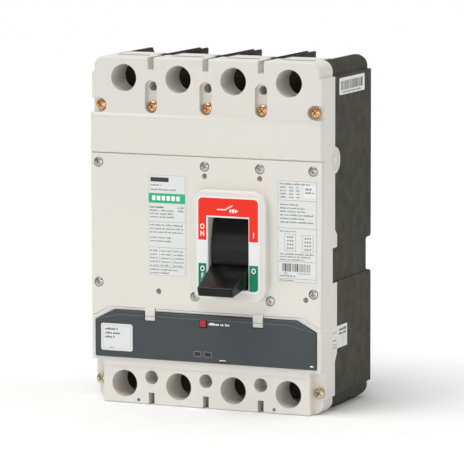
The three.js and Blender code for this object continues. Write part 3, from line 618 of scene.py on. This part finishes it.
def accessory_radius(first, second):
    """The rim of the handle's surround is the softest edge, then the sides of the cover."""
    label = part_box("handle_position_label")
    middle = (first + second) / 2
    front = max(first.y, second.y) / MM
    inside = label[0].x < middle.x < label[1].x and label[0].z < middle.z < label[1].z
    if front < BEZEL_LEVEL and not inside:
        return BEZEL_EDGE
    if front > POCKET_FLOOR:
        return 0.0
    if min(abs(first.x), abs(second.x)) > (HALF_WIDTH - ON_EDGE) * MM:
        return SOFT_EDGE if front < ACCESSORY_LEVEL else EDGE
    return INNER_EDGE


def panel_radius(first, second):
    """The front edges of the trip unit panel are softer than the rest."""
    return PANEL_EDGE if max(first.y, second.y) < PANEL_LEVEL * MM else EDGE


def add_case():
    """The four mouldings of the case, and dark blocks in its vents as painted shade."""
    rounded_copy("front_cover", COVER, cover_radius)
    rounded_copy("base", BASE_AND_VENT_SHADE, base_radius)
    rounded_copy("accessory_cover", COVER, accessory_radius, segments=4)
    rounded_copy("trip_unit_panel", PANEL, panel_radius)
    add_vent_shade_blocks()


def add_vent_shade_blocks():
    """Blocks of the base's dark plastic that fill the slots in the top of the cover, one to a pole: painted
    shade in the vent slots.
    """
    bm = bmesh.new()
    depth, rise = (VENT_REAR - VENT_FRONT) * MM, (VENT_TOP - VENT_BOTTOM) * MM
    size = Matrix.Diagonal((2 * VENT_HALF_WIDTH * MM, depth, rise, 1))
    for pole in (-1.5, -0.5, 0.5, 1.5):
        middle = at(pole * POLE_PITCH, (VENT_FRONT + VENT_REAR) / 2, (VENT_BOTTOM + VENT_TOP) / 2)
        bmesh.ops.create_cube(bm, size=1, matrix=Matrix.Translation(middle) @ size)
    bmesh.ops.bevel(
        bm, geom=bm.edges[:], offset=0.5 * MM, segments=3, profile=0.5, affect="EDGES", clamp_overlap=True
    )
    # The blocks stand in for the shade inside the vents: painted shade.
    show("vent_shade_blocks", mesh_of(bm, "vent_shade_blocks"), BASE_AND_VENT_SHADE)


# Marks on the panel of the trip unit, from the middle of the load end: ejector rings, two framed windows
# with painted shade in them, a lighter line near its rim that is a painted highlight, a slot drawn as
# painted shade and three white marks.
EJECTOR_RINGS = [(51.7, 61.6, 2.3), (83.1, 41.8, 2.6), (32.6, 42.9, 1.7), (64.1, 49.6, 1.7)]
WINDOWS = [(-7.9, 39.2, -2.3, 42.8), (0.3, 39, 6.1, 42.8)]
RIM_LINE = [(-87, 62.4), (-68.5, 66.6), (66.8, 66.6), (86, 62.2)]
PANEL_SLOT = (12.9, 35.1, 16.9, 36.6)
WHITE_MARKS = [(12.5, 36.9, 17.3, 37.5), (84, 36.8, 85.4, 37.8), (85.7, 36.8, 86.6, 37.8)]
WINDOW_RIM = 0.2
FLAT_RELIEF = 0.04


def panel_sheet():
    """The patch over the panel of the trip unit, from the middle of the load end."""
    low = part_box("trip_unit_panel")[0]
    return sheet_on(Vector((0, low.y, FLOOR_Z)), RIGHT, FRONT)


def add_panel_details():
    """The marks on the panel, and blocks in place of the button's caption."""
    sheet = panel_sheet()
    circles = [(u, v, radius - 0.22, radius) for u, v, radius in EJECTOR_RINGS]
    rings("panel_ejector_marks", sheet, circles, PANEL, SUNK, 0.09)
    # The line near the rim is drawn lighter than the panel: a painted highlight.
    line = stroke(RIM_LINE, 0.3)
    plates("panel_highlight_line", sheet, line, PANEL_HIGHLIGHT, SUNK, 0.12)
    frames = [outline for window in WINDOWS for outline in box_outline(*window, 0.45)]
    plates("panel_window_frames", sheet, frames, GREY_INK_AND_EDGE_SHADOW, SUNK, 0.2)
    # Flat black plates inside the window frames: painted shade in the openings.
    window_shades = [
        rectangle(left + WINDOW_RIM, bottom + WINDOW_RIM, right - WINDOW_RIM, top - WINDOW_RIM)
        for left, bottom, right, top in WINDOWS
    ]
    plates("painted_window_shade", sheet, window_shades, BLACK_MOULDING_AND_PAINTED_SHADE, SUNK, FLAT_RELIEF)
    # A flat black plate where the slot is: painted shade inside it.
    slot = [rectangle(*PANEL_SLOT)]
    plates("painted_slot_shade", sheet, slot, BLACK_MOULDING_AND_PAINTED_SHADE, SUNK, FLAT_RELIEF)
    plates("panel_white_marks", sheet, [rectangle(*mark) for mark in WHITE_MARKS], WHITE_INK)
    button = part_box("push_to_trip_button")
    rng = random.Random(5)
    start = button[1].x / MM + 2.2
    base = (button[0].z + button[1].z) / 2 / MM - FLOOR_Z / MM - 0.8
    plates("panel_button_caption", sheet, greeked(rng, start, start + 16.5, base, 1.7, 1.1), WHITE_INK)


def add_side_boss():
    """A shallow engraved dial on the round boss of the right side, drawn as flat rings and ticks in a
    darker tone: painted shade of the engraving.
    """
    sheet = sheet_on(at(HALF_WIDTH, -74.4, 184.8), Vector((0, 1, 0)), RIGHT)
    circles = [(0, 0, 6.7, 7.2), (0, 0, 3.3, 3.8)]
    # Rings barely proud of the side, darker as painted shade of engraved rings.
    rings("side_boss_ring_shade", sheet, circles, DIAL_SHADE, SUNK, FLUSH)
    near, far = 4.6, 5.9
    marks = []
    for i in range(12):
        angle = 2 * math.pi * i / 12
        across, rise = math.cos(angle), math.sin(angle)
        marks += stroke([(near * across, near * rise), (far * across, far * rise)], 0.45)
    plates("side_boss_mark_shade", sheet, marks, DIAL_SHADE, SUNK, FLUSH)


# ---------------------------------------------------------------- handle

HANDLE_TILT = math.radians(17)
DRUM_RADIUS = 57.0
DRUM_HALF_WIDTH = 15.2
TIP_REACH = DRUM_RADIUS + 20
GRIP_HALF_WIDTH = 12
BAND_FROM, BAND_TO = math.radians(8.6), math.radians(26.5)
BAND_MARGIN = 0.6


def handle_frame():
    """The handle's own axes: its origin on the pivot, with -Y along the grip."""
    joint = next(j for j in frame["joints"] if j["name"] == "handle_swing")
    return Matrix.Translation(joint["pos_m"]) @ Matrix.Rotation(HANDLE_TILT, 4, "X")


def handle_radius(first, second):
    """The grip is round-edged, more so at its tip, and the drum crisp."""
    inward = handle_frame().inverted()
    reach = [-(inward @ point).y / MM for point in (first, second)]
    if min(reach) > TIP_REACH:
        return 1.3
    if max(reach) > DRUM_RADIUS + 1:
        return 1.1
    beside_grip = abs((inward @ ((first + second) / 2)).z) < GRIP_HALF_WIDTH * MM
    return 0.0 if beside_grip else 0.35


def add_handle():
    """The handle, and the band that stands out a little on its drum."""
    rounded_copy("handle", HANDLE, handle_radius, segments=4)
    place = handle_frame()
    bm = bmesh.new()
    half = DRUM_HALF_WIDTH - BAND_MARGIN
    steps = 12
    sections = []
    for i in range(steps + 1):
        angle = BAND_FROM + (BAND_TO - BAND_FROM) * i / steps
        ends = []
        for radius in (DRUM_RADIUS - 0.3, DRUM_RADIUS + 0.4):
            y, z = -radius * MM * math.cos(angle), radius * MM * math.sin(angle)
            ends.append([bm.verts.new(place @ Vector((x * MM, y, z))) for x in (-half, half)])
        sections.append([ends[0][0], ends[0][1], ends[1][1], ends[1][0]])
    skin(bm, sections)
    surface = mesh_of(bm, "handle_drum_band", smooth=True)
    band = show("handle_drum_band", surface, HANDLE, "handle")
    bevelled(band, 0.25, 2, weighted=False)


# ---------------------------------------------------------------- screws


def lathed(profile, steps):
    """A closed turned solid round Z, whose profile of radii and heights starts and ends on the axis."""
    bm = bmesh.new()
    first = bm.verts.new((0, 0, profile[0][1] * MM))
    last = bm.verts.new((0, 0, profile[-1][1] * MM))
    loops = []
    for radius, height in profile[1:-1]:
        turns = [2 * math.pi * i / steps for i in range(steps)]
        points = [(radius * MM * math.cos(t), radius * MM * math.sin(t), height * MM) for t in turns]
        loops.append([bm.verts.new(point) for point in points])
    for i in range(steps):
        bm.faces.new((first, loops[0][i - 1], loops[0][i]))
        bm.faces.new((last, loops[-1][i], loops[-1][i - 1]))
    for loop, following in zip(loops, loops[1:]):
        for i in range(steps):
            bm.faces.new((loop[i - 1], loop[i], following[i], following[i - 1]))
    return bm


def screw_profile(head, height, shank, length):
    """A domed head with a rounded rim over a threaded shank."""
    pitch = 0.8
    points = [(0, -length), (0.6 * shank, -length)]
    turns = int((length - 1.2) / pitch)
    for i in range(turns):
        start = -length + 0.4 + i * pitch
        points += [(0.86 * shank, start), (shank, start + pitch / 2)]
    points += [(shank, -0.4), (shank, 0), (head - 0.25, 0), (head, 0.2)]
    rim = 0.42 * height
    for i in range(7):
        angle = math.pi / 2 * i / 7
        points.append((head * math.cos(angle) ** 0.7, rim + (height - rim) * math.sin(angle)))
    return points + [(0, height)]


def cross_outline(reach, half):
    """The corners of a cross with four arms, each twice half wide."""
    outline = []
    for i in range(4):
        turn = math.pi / 2 * i
        along = Vector((math.cos(turn), math.sin(turn)))
        side = Vector((-along.y, along.x))
        outline += [along * reach - side * half, along * reach + side * half, (along + side) * half]
    return outline


def hexagon_outline(reach):
    """The corners of a hexagon, reach from its middle."""
    turns = [math.pi / 3 * i for i in range(6)]
    return [Vector((reach * math.cos(turn), reach * math.sin(turn))) for turn in turns]


def recess_cutter(outline, top, bottom):
    """A tool that narrows towards its bottom, for cutting a drive recess."""
    bm = bmesh.new()
    upper = [bm.verts.new((p.x * MM, p.y * MM, top * MM)) for p in outline]
    lower = [bm.verts.new((0.55 * p.x * MM, 0.55 * p.y * MM, bottom * MM)) for p in outline]
    bm.faces.new(upper)
    bm.faces.new(lower[::-1])
    for i, corner in enumerate(upper):
        bm.faces.new((corner, upper[i - 1], lower[i - 1], lower[i]))
    return mesh_of(bm, "recess")


def cut_away(mesh, cutter):
    """The mesh left when a cutter is taken out of another mesh."""
    holders = [bpy.data.objects.new("cut", m) for m in (mesh, cutter)]
    for holder in holders:
        bpy.context.scene.collection.objects.link(holder)
    boolean = holders[0].modifiers.new("Cut", "BOOLEAN")
    boolean.operation = "DIFFERENCE"
    boolean.solver = "EXACT"
    boolean.object = holders[1]
    bpy.context.view_layer.update()
    made = bpy.data.meshes.new_from_object(holders[0].evaluated_get(bpy.context.evaluated_depsgraph_get()))
    for holder in holders:
        bpy.data.objects.remove(holder)
    return made


def screw_mesh(name, head, height, shank, length, hexagonal=False):
    """A screw along Z, its head up, with a cross or a hexagonal recess."""
    whole = mesh_of(lathed(screw_profile(head, height, shank, length), 32), name)
    if hexagonal:
        cutter = recess_cutter(hexagon_outline(0.58 * head), height + 1, 0.35 * height)
    else:
        cutter = recess_cutter(cross_outline(0.56 * head, 0.1 * head), height + 0.4, 0.25 * height)
    made = cut_away(whole, cutter)
    made.name = name
    return made


def screws_like(nodes, mesh, height, material, seed):
    """Puts the same screw at each of several CAD nodes, each turned its own way."""
    rng = random.Random(seed)
    for node in nodes:
        low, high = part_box(node)
        turn = math.radians(rng.uniform(0, 90))
        seat = Vector(((low.x + high.x) / 2, low.y + height * MM, (low.z + high.z) / 2))
        outward = Matrix.Rotation(math.radians(90), 4, "X")
        made = mesh.copy()
        made.transform(Matrix.Translation(seat) @ outward @ Matrix.Rotation(turn, 4, "Z"))
        piece = show(f"{node}_detailed", made, material, "case")
        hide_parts(node)
        shading = piece.modifiers.new("Even_shading", "WEIGHTED_NORMAL")
        shading.keep_sharp = True


def smooth_by_angle(mesh, angle=math.radians(32)):
    """Smooth shading, with the edges sharper than an angle kept sharp."""
    bm = bmesh.new()
    bm.from_mesh(mesh)
    for face in bm.faces:
        face.smooth = True
    for edge in bm.edges:
        edge.smooth = len(edge.link_faces) == 2 and edge.calc_face_angle() < angle
    bm.to_mesh(mesh)
    bm.free()
    return mesh


def add_screws():
    """The screws of the two covers and of the terminals."""
    cover = smooth_by_angle(screw_mesh("cover_screw", 4.2, 3.0, 2.0, 18))
    accessory = smooth_by_angle(screw_mesh("accessory_screw", 3.35, 1.9, 1.4, 9))
    terminal = smooth_by_angle(screw_mesh("terminal_screw", 6.5, 5.0, 3.8, 17, hexagonal=True))
    screws_like([f"cover_screw_{i}" for i in range(1, 6)], cover, 3.0, YELLOW_ZINC, 11)
    screws_like([f"cover_screw_{i}" for i in (6, 7)], cover, 3.0, PALE_BRASS, 12)
    small = [f"accessory_cover_screw_{i}" for i in range(1, 9)]
    screws_like(small, accessory, 1.9, CLEAR_ZINC, 13)
    large = [f"{end}_terminal_screw_{i}" for end in ("line", "load") for i in range(1, 5)]
    screws_like(large, terminal, 5.0, CLEAR_ZINC, 14)


# ---------------------------------------------------------------- labels

LABEL_CORNER = 1.2


def corner_radius(radius):
    """Rounds the outer corners of a label seen from the front, and nothing else."""

    def radius_of(first, second):
        return radius if abs(first.y - second.y) > 0.1 * MM else 0.0

    return radius_of


def add_label_stock():
    """The four labels of the CAD, with their outer corners rounded."""
    for node in ("rating_label", "instruction_label"):
        rounded_copy(node, PAPER, corner_radius(LABEL_CORNER), segments=5)
    rounded_copy("panel_label", PAPER, corner_radius(1.6), segments=5)
    rounded_copy("handle_position_label", BRIGHT_PAPER, corner_radius(4.2), segments=8)


def add_rating_print():
    """A green band, blocks and rules in place of the rating label's text, and a thin grey line inside its
    edge as painted shadow of the edge.
    """
    sheet, width, height = label_sheet("rating_label")
    rng = random.Random(21)
    band = [rounded(0.8, 54.2, width - 0.8, 61.4, (0.4,) * 4)]
    plates("rating_label_band", sheet, band, BAND_GREEN_INK)
    bars = [rectangle(3.6 + 3.9 * i, 56.2, 6.3 + 3.9 * i, 59.6) for i in range(6)]
    plates("rating_label_band_bars", sheet, bars, WHITE_INK, low=INK, high=2 * INK)
    dark = [rectangle(2.4, 69.9, 17, 73.1)]
    dark += greeked(rng, 2, 14, 50.6, 1.25, 1.2)
    plates("rating_label_dark_print", sheet, dark, DARK_INK)
    grey = greeked(rng, 2.4, 11, 66.9, 1.3) + greeked(rng, 2.4, 24, 63.6, 1.3)
    for i, base in enumerate((48.2, 45.8, 43.4)):
        grey += greeked(rng, 2, 9, base, 1.2) + greeked(rng, 11 - i, 21, base, 1.2)
    grey += greeked(rng, 24, 29, 50.6, 1.2) + greeked(rng, 24.5, 29, 48.2, 1.2)
    for base in (37.4, 34.8, 32.2):
        grey += greeked(rng, 2, width - 2.4, base, 1.15)
    for base in (28.2, 25.6):
        grey += greeked(rng, 2, 19, base, 1.15)
    for i in range(5):
        base = 18.4 - 2.7 * i
        grey += greeked(rng, 2, 8.5, base, 1.15) + greeked(rng, 10.4, 18.6, base, 1.15)
        grey += greeked(rng, 20.6, width - 2, base, 1.15)
    grey += greeked(rng, 2, 24, 4.4, 1.15) + greeked(rng, 2, 18, 2, 1.15)
    for level in (40.4, 21.4, 7.0):
        grey += stroke([(1, level), (width - 1, level)], 0.22)
    for u in (9.4, 19.6):
        grey += stroke([(u, 7.0), (u, 21.4)], 0.18)
    plates("rating_label_print", sheet, grey, GREY_INK_AND_EDGE_SHADOW)
    # A thin grey line just inside the label's edge: painted shadow of the edge.
    rim = box_outline(0.9, 0.9, width - 0.9, height - 0.9, 0.16)
    plates("rating_label_edge_shadow", sheet, rim, GREY_INK_AND_EDGE_SHADOW, high=0.5 * INK)


def schematic(left, bottom):
    """A generic block diagram: a box round two rows of small contacts."""
    outlines = box_outline(left, bottom, left + 8.6, bottom + 12.4, 0.2)
    for row in range(4):
        base = bottom + 1.4 + 2.7 * row
        outlines += stroke([(left + 1.8, base + 0.6), (left + 6.8, base + 0.6)], 0.2)
        for column in range(3):
            start = left + 2 + 1.9 * column
            outlines.append(rectangle(start, base, start + 0.9, base + 1.3))
    return outlines


def add_instruction_print():
    """Blocks, plain diagrams and bars in place of the instruction label's text."""
    sheet, width, height = label_sheet("instruction_label")
    rng = random.Random(22)
    patch = [rounded(width - 10.6, 62.4, width - 1.2, 71.6, (0.5,) * 4)]
    plates("instruction_label_patch", sheet, patch, BRIGHT_PAPER)
    grey = []
    for level in (60.2, 40.1, 15.7, 3.2):
        grey += stroke([(0.9, level), (width - 0.9, level)], 0.24)
    grey += box_outline(0.9, 0.9, width - 0.9, height - 0.9, 0.2)
    grey += greeked(rng, 2.4, 26, 71.6, 1.2)
    for base in (69.2, 66.8, 64.4, 62):
        grey += greeked(rng, 2.4, 7.4, base, 1.2) + greeked(rng, 9.6, 13, base, 1.1)
        grey += greeked(rng, 15.4, 18.2, base, 1.1)
    for base, end in ((56.6, 17), (54, 22), (51.6, 22), (49, 29.5), (46.4, 22), (43.8, 29)):
        grey += greeked(rng, 2.6, end, base, 1.2)
    grey += greeked(rng, 2.4, 15, 37.2, 1.1)
    grey += schematic(6.2, 23.4) + schematic(19.8, 22.8)
    for base, end in ((20.6, 29), (18.6, 27), (16.6, 22)):
        grey += greeked(rng, 2.6, end, base, 1.15)
    grey += greeked(rng, 2.2, 15, 4.6, 1.3) + greeked(rng, 2.2, 13, 1.5, 1.1)
    grey += greeked(rng, 5, 9, 6.8, 0.8) + greeked(rng, 17, 26, 6.8, 0.8)
    plates("instruction_label_print", sheet, grey, GREY_INK_AND_EDGE_SHADOW)
    patch_print = greeked(rng, width - 9.6, width - 2.4, 68, 1.7)
    patch_print += greeked(rng, width - 9.6, width - 2.6, 65.6, 1.2)
    plates("instruction_label_patch_print", sheet, patch_print, GREY_INK_AND_EDGE_SHADOW, low=INK, high=2 * INK)
    plates("instruction_label_barcode", sheet, barcode(rng, 4.4, 27.6, 8.4, 14.2), DARK_INK)


def add_panel_print():
    """Blocks in place of the panel label's text."""
    sheet, width, height = label_sheet("panel_label")
    rng = random.Random(23)
    rows = []
    for end, base in ((14.6, 15.4), (16.4, 12.4), (11, 9.4)):
        rows += greeked(rng, 3.4, end, base, 1.5)
    plates("panel_label_print", sheet, rows, DARK_INK)
    rim = box_outline(1.5, 1.5, width - 1.5, height - 1.5, 0.12) + greeked(rng, 6.8, 11, 1.9, 0.8)
    plates("panel_label_rim", sheet, rim, GREY_INK_AND_EDGE_SHADOW, high=0.5 * INK)


# The label round the handle, in millimetres from its lower left corner.
RIM = 1.3
WINDOW = {"left": 8.6, "right": 41.2, "top": 55.0}
RED_FROM = 37.9
GREEN_TO = 20.7


def add_handle_print():
    """The red and green fields round the handle, with ON, OFF, I, O and a switch symbol."""
    sheet, width, height = label_sheet("handle_position_label")
    left, right, top = WINDOW["left"] - 0.9, WINDOW["right"] + 0.35, WINDOW["top"] + 0.9
    red = rounded(RIM, RED_FROM, width - RIM, height - RIM, (0, 0, 3.2, 3.2), 8)
    arch = [red[0], (left, RED_FROM), (left, top), (right, top), (right, RED_FROM), *red[1:]]
    plates("handle_label_red", sheet, [arch], RED_INK)
    green = [
        rounded(RIM, 1.6, left, GREEN_TO, (2.6, 0, 0, 0)),
        rounded(right, 1.6, width - RIM, GREEN_TO, (0, 2.6, 0, 0)),
    ]
    plates("handle_label_green", sheet, green, GREEN_INK)
    first, second = (RIM + left) / 2, (right + width - RIM) / 2
    words = (("O", 47.6), ("N", 42.4), ("O", 16.6), ("F", 11.4), ("F", 6.2))
    marks = (("I", 42.8), ("O", 16.6))
    letters = [(text, first, v) for text, v in words] + [(text, second, v) for text, v in marks]
    lettering("handle_label_letters", sheet, letters, WHITE_INK, 5.4)
    symbol = stroke([(16.6, 60.6), (22.4, 60.6), (28.0, 63.6)], 0.75)
    symbol += stroke([(26.2, 59.9), (32.6, 59.9)], 0.6)
    symbol += [rectangle(u, 58.5, u + wide, 61.3) for u, wide in ((26.4, 0.7), (28.2, 1.5), (30.6, 0.8))]
    plates("handle_label_symbol", sheet, symbol, WHITE_INK, low=INK, high=2 * INK)


def add_barcode_label():
    """A barcode label high on the right side of the base."""
    width, height = 50, 12.4
    sheet = sheet_on(at(HALF_WIDTH - 1.1, -64, 231), Vector((0, 1, 0)), RIGHT)
    stock = [rounded(0, 0, width, height, (1.2,) * 4)]
    plates("barcode_label", sheet, stock, BRIGHT_PAPER, high=0.15)
    rng = random.Random(24)
    bars = barcode(rng, 3, width - 3, 3.4, height - 2.4)
    plates("barcode_label_bars", sheet, bars, DARK_INK, low=0.1, high=0.15 + INK)
    digits = greeked(rng, 6, width - 6, 1.2, 1.4)
    plates("barcode_label_digits", sheet, digits, GREY_INK_AND_EDGE_SHADOW, low=0.1, high=0.15 + INK)


def add_side_label():
    """A small label that runs from the lip of the cover down onto the side of the base."""
    bottom, top = 45.5, 62
    thick = 0.15
    outer = HALF_WIDTH + FLUSH - thick
    inner = outer - 1.1
    path = [
        (-81, outer),
        (-70.4, outer),
        (-69.6, outer - 0.25),
        (-68.2, inner + 0.2),
        (-67.2, inner),
        (-48, inner),
    ]
    bm = bmesh.new()
    sections = []
    for y, x in path:
        corners = ((x, bottom), (x + thick, bottom), (x + thick, top), (x, top))
        sections.append([bm.verts.new(at(u, y, z)) for u, z in corners])
    skin(bm, sections)
    show("side_label", mesh_of(bm, "side_label"), PAPER)
    rng = random.Random(25)
    near = sheet_on(at(outer + thick, -81, bottom), Vector((0, 1, 0)), RIGHT)
    rows = [outline for base in (12.2, 6.4, 3.4, 1.2) for outline in greeked(rng, 1.5, 9.6, base, 1.3)]
    plates("side_label_print_front", near, rows, GREY_INK_AND_EDGE_SHADOW, high=FLUSH / 2)
    far = sheet_on(at(inner + thick, -67, bottom), Vector((0, 1, 0)), RIGHT)
    dark = greeked(rng, 3, 17.5, 12.4, 2, 1.2) + greeked(rng, 3, 17.5, 9.6, 2, 1.2)
    plates("side_label_print_rear", far, dark, DARK_INK)
    line = stroke([(10.5, 2.2), (10.5, 8.2)], 0.35)
    plates("side_label_line", far, line, GREY_INK_AND_EDGE_SHADOW)


# ---------------------------------------------------------------- inner pieces


def add_inner_pieces():
    """The mechanism and the current paths, mostly out of sight."""
    steel = [
        "side_plate_left",
        "side_plate_right",
        "cradle",
        "upper_toggle_link",
        "lower_toggle_link",
        "handle_arm",
    ]
    for node in steel:
        rounded_copy(node, STEEL, lambda first, second: 0.12, 2)
    for node in ("crossbar", "trip_bar", "trip_unit_body"):
        rounded_copy(node, BLACK_MOULDING_AND_PAINTED_SHADE, lambda first, second: 0.25, 2)
    for i in range(1, 5):
        rounded_copy(f"contact_arm_{i}", COPPER, lambda first, second: 0.35, 2)
        rounded_copy(f"arc_chute_{i}", FIBRE, lambda first, second: 0.2, 2)
        rounded_copy(f"line_terminal_{i}", COPPER, lambda first, second: 0.5)
        rounded_copy(f"load_terminal_{i}", COPPER, lambda first, second: 0.5)
    for node in ("spring_left", "spring_right"):
        spring = rounded_copy(node, STEEL, lambda first, second: 0.0)
        spring.modifiers.clear()
        for edge in spring.data.edges:
            edge.use_edge_sharp = False
        smoother = spring.modifiers.new("Round_wire", "SUBSURF")
        smoother.levels = 2
        smoother.render_levels = 2
    rounded_copy("push_to_trip_button", RED_PLASTIC, lambda first, second: 0.45)


# ---------------------------------------------------------------- studio

# Distances and sizes in the studio are in metres.
AIM = Vector((1.6, -55.1, -3.2)) * MM
DISTANCE = 2.72
AZIMUTH = 23.337
ELEVATION = 7.557
ROLL = math.radians(-0.155)
LENS = 284.7
FLOOR_SIZE = 6

# The strength of the studio's own light before the object and behind it.
FRONT_LIGHT = 0.27
REAR_LIGHT = 0.74
KEY_ANGLE = math.radians(40)
KICKER_ANGLE = math.radians(8.5)
KICKER_RADIUS = 0.25

# The spot aims a little below the load end.
KICKER_AIM = at(0, -101, -24)


def facing_back(azimuth, elevation):
    """The direction out to a viewpoint, given in degrees, and the turn that faces the object from there."""
    a, e = math.radians(azimuth), math.radians(elevation)
    back = Vector((math.sin(a) * math.cos(e), -math.cos(a) * math.cos(e), math.sin(e)))
    return back, (-back).to_track_quat("-Z", "Y").to_matrix().to_4x4()


def add_camera():
    """A long lens, so that the object is seen with little perspective."""
    data = bpy.data.cameras.new("Camera")
    data.lens = LENS
    data.clip_end = 50
    camera = bpy.data.objects.new("Camera", data)
    bpy.context.scene.collection.objects.link(camera)
    back, turn = facing_back(AZIMUTH, ELEVATION)
    camera.matrix_world = Matrix.Translation(AIM + back * DISTANCE) @ turn @ Matrix.Rotation(ROLL, 4, "Z")
    bpy.context.scene.camera = camera


def add_light(name, azimuth, elevation, distance, size, power):
    """A soft box that faces the object, placed as the camera's views are."""
    data = bpy.data.lights.new(name, "AREA")
    data.shape = "RECTANGLE"
    data.size = size[0]
    data.size_y = size[1]
    data.energy = power
    light = bpy.data.objects.new(name, data)
    bpy.context.scene.collection.objects.link(light)
    back, turn = facing_back(azimuth, elevation)
    light.matrix_world = Matrix.Translation(AIM + back * distance) @ turn
    light.visible_camera = False


def studio_world():
    """A white studio, darker before the object than behind it, so that dark plastic keeps its depth."""
    world = bpy.data.worlds.new("Studio")
    world.use_nodes = True
    nodes = world.node_tree.nodes
    links = world.node_tree.links
    place = nodes.new("ShaderNodeTexCoord")
    parts = nodes.new("ShaderNodeSeparateXYZ")
    links.new(place.outputs["Generated"], parts.inputs["Vector"])
    ranged = nodes.new("ShaderNodeMapRange")
    ranged.interpolation_type = "SMOOTHSTEP"
    ranged.inputs["From Min"].default_value = -0.7
    ranged.inputs["From Max"].default_value = 0.6
    ranged.inputs["To Min"].default_value = FRONT_LIGHT
    ranged.inputs["To Max"].default_value = REAR_LIGHT
    links.new(parts.outputs["Y"], ranged.inputs["Value"])
    background = nodes["Background"]
    background.inputs["Color"].default_value = (1, 1, 1, 1)
    links.new(ranged.outputs["Result"], background.inputs["Strength"])
    return world


def add_sun(azimuth, elevation, strength):
    """A broad soft key from high on the left, which lights the floor evenly."""
    data = bpy.data.lights.new("Key", "SUN")
    data.energy = strength
    data.angle = KEY_ANGLE
    light = bpy.data.objects.new("Key", data)
    bpy.context.scene.collection.objects.link(light)
    light.matrix_world = facing_back(azimuth, elevation)[1]


def add_kicker(azimuth, elevation, distance, target, power):
    """A narrow soft spot that lifts the load end, close to the floor."""
    data = bpy.data.lights.new("Kicker", "SPOT")
    data.energy = power
    data.spot_size = KICKER_ANGLE
    data.spot_blend = 1.0
    data.shadow_soft_size = KICKER_RADIUS
    light = bpy.data.objects.new("Kicker", data)
    bpy.context.scene.collection.objects.link(light)
    back, turn = facing_back(azimuth, elevation)
    light.matrix_world = Matrix.Translation(target + back * distance) @ turn


def add_studio():
    """A plain pale floor, and soft light from all round with a key, two soft boxes and a spot."""
    bm = bmesh.new()
    level = Matrix.Translation((0, 0, FLOOR_Z))
    bmesh.ops.create_grid(bm, x_segments=8, y_segments=8, size=FLOOR_SIZE, matrix=level)
    floor = bpy.data.objects.new("studio_floor", mesh_of(bm, "studio_floor"))
    floor.data.materials.append(studio_floor("studio_floor"))
    bpy.context.scene.collection.objects.link(floor)
    bpy.context.scene.world = studio_world()
    bpy.context.scene.view_settings.view_transform = "Standard"
    add_sun(azimuth=-30, elevation=68, strength=1.88)
    add_light("Left", azimuth=-12, elevation=6, distance=2.2, size=(1.2, 0.8), power=3.2)
    add_light("Right", azimuth=26, elevation=10, distance=2.2, size=(0.8, 0.8), power=3)
    add_kicker(azimuth=22, elevation=7, distance=2.2, target=KICKER_AIM, power=85)


add_case()
add_panel_details()
add_side_boss()
add_handle()
add_screws()
add_label_stock()
add_rating_print()
add_instruction_print()
add_panel_print()
add_handle_print()
add_barcode_label()
add_side_label()
add_inner_pieces()
add_studio()
add_camera()
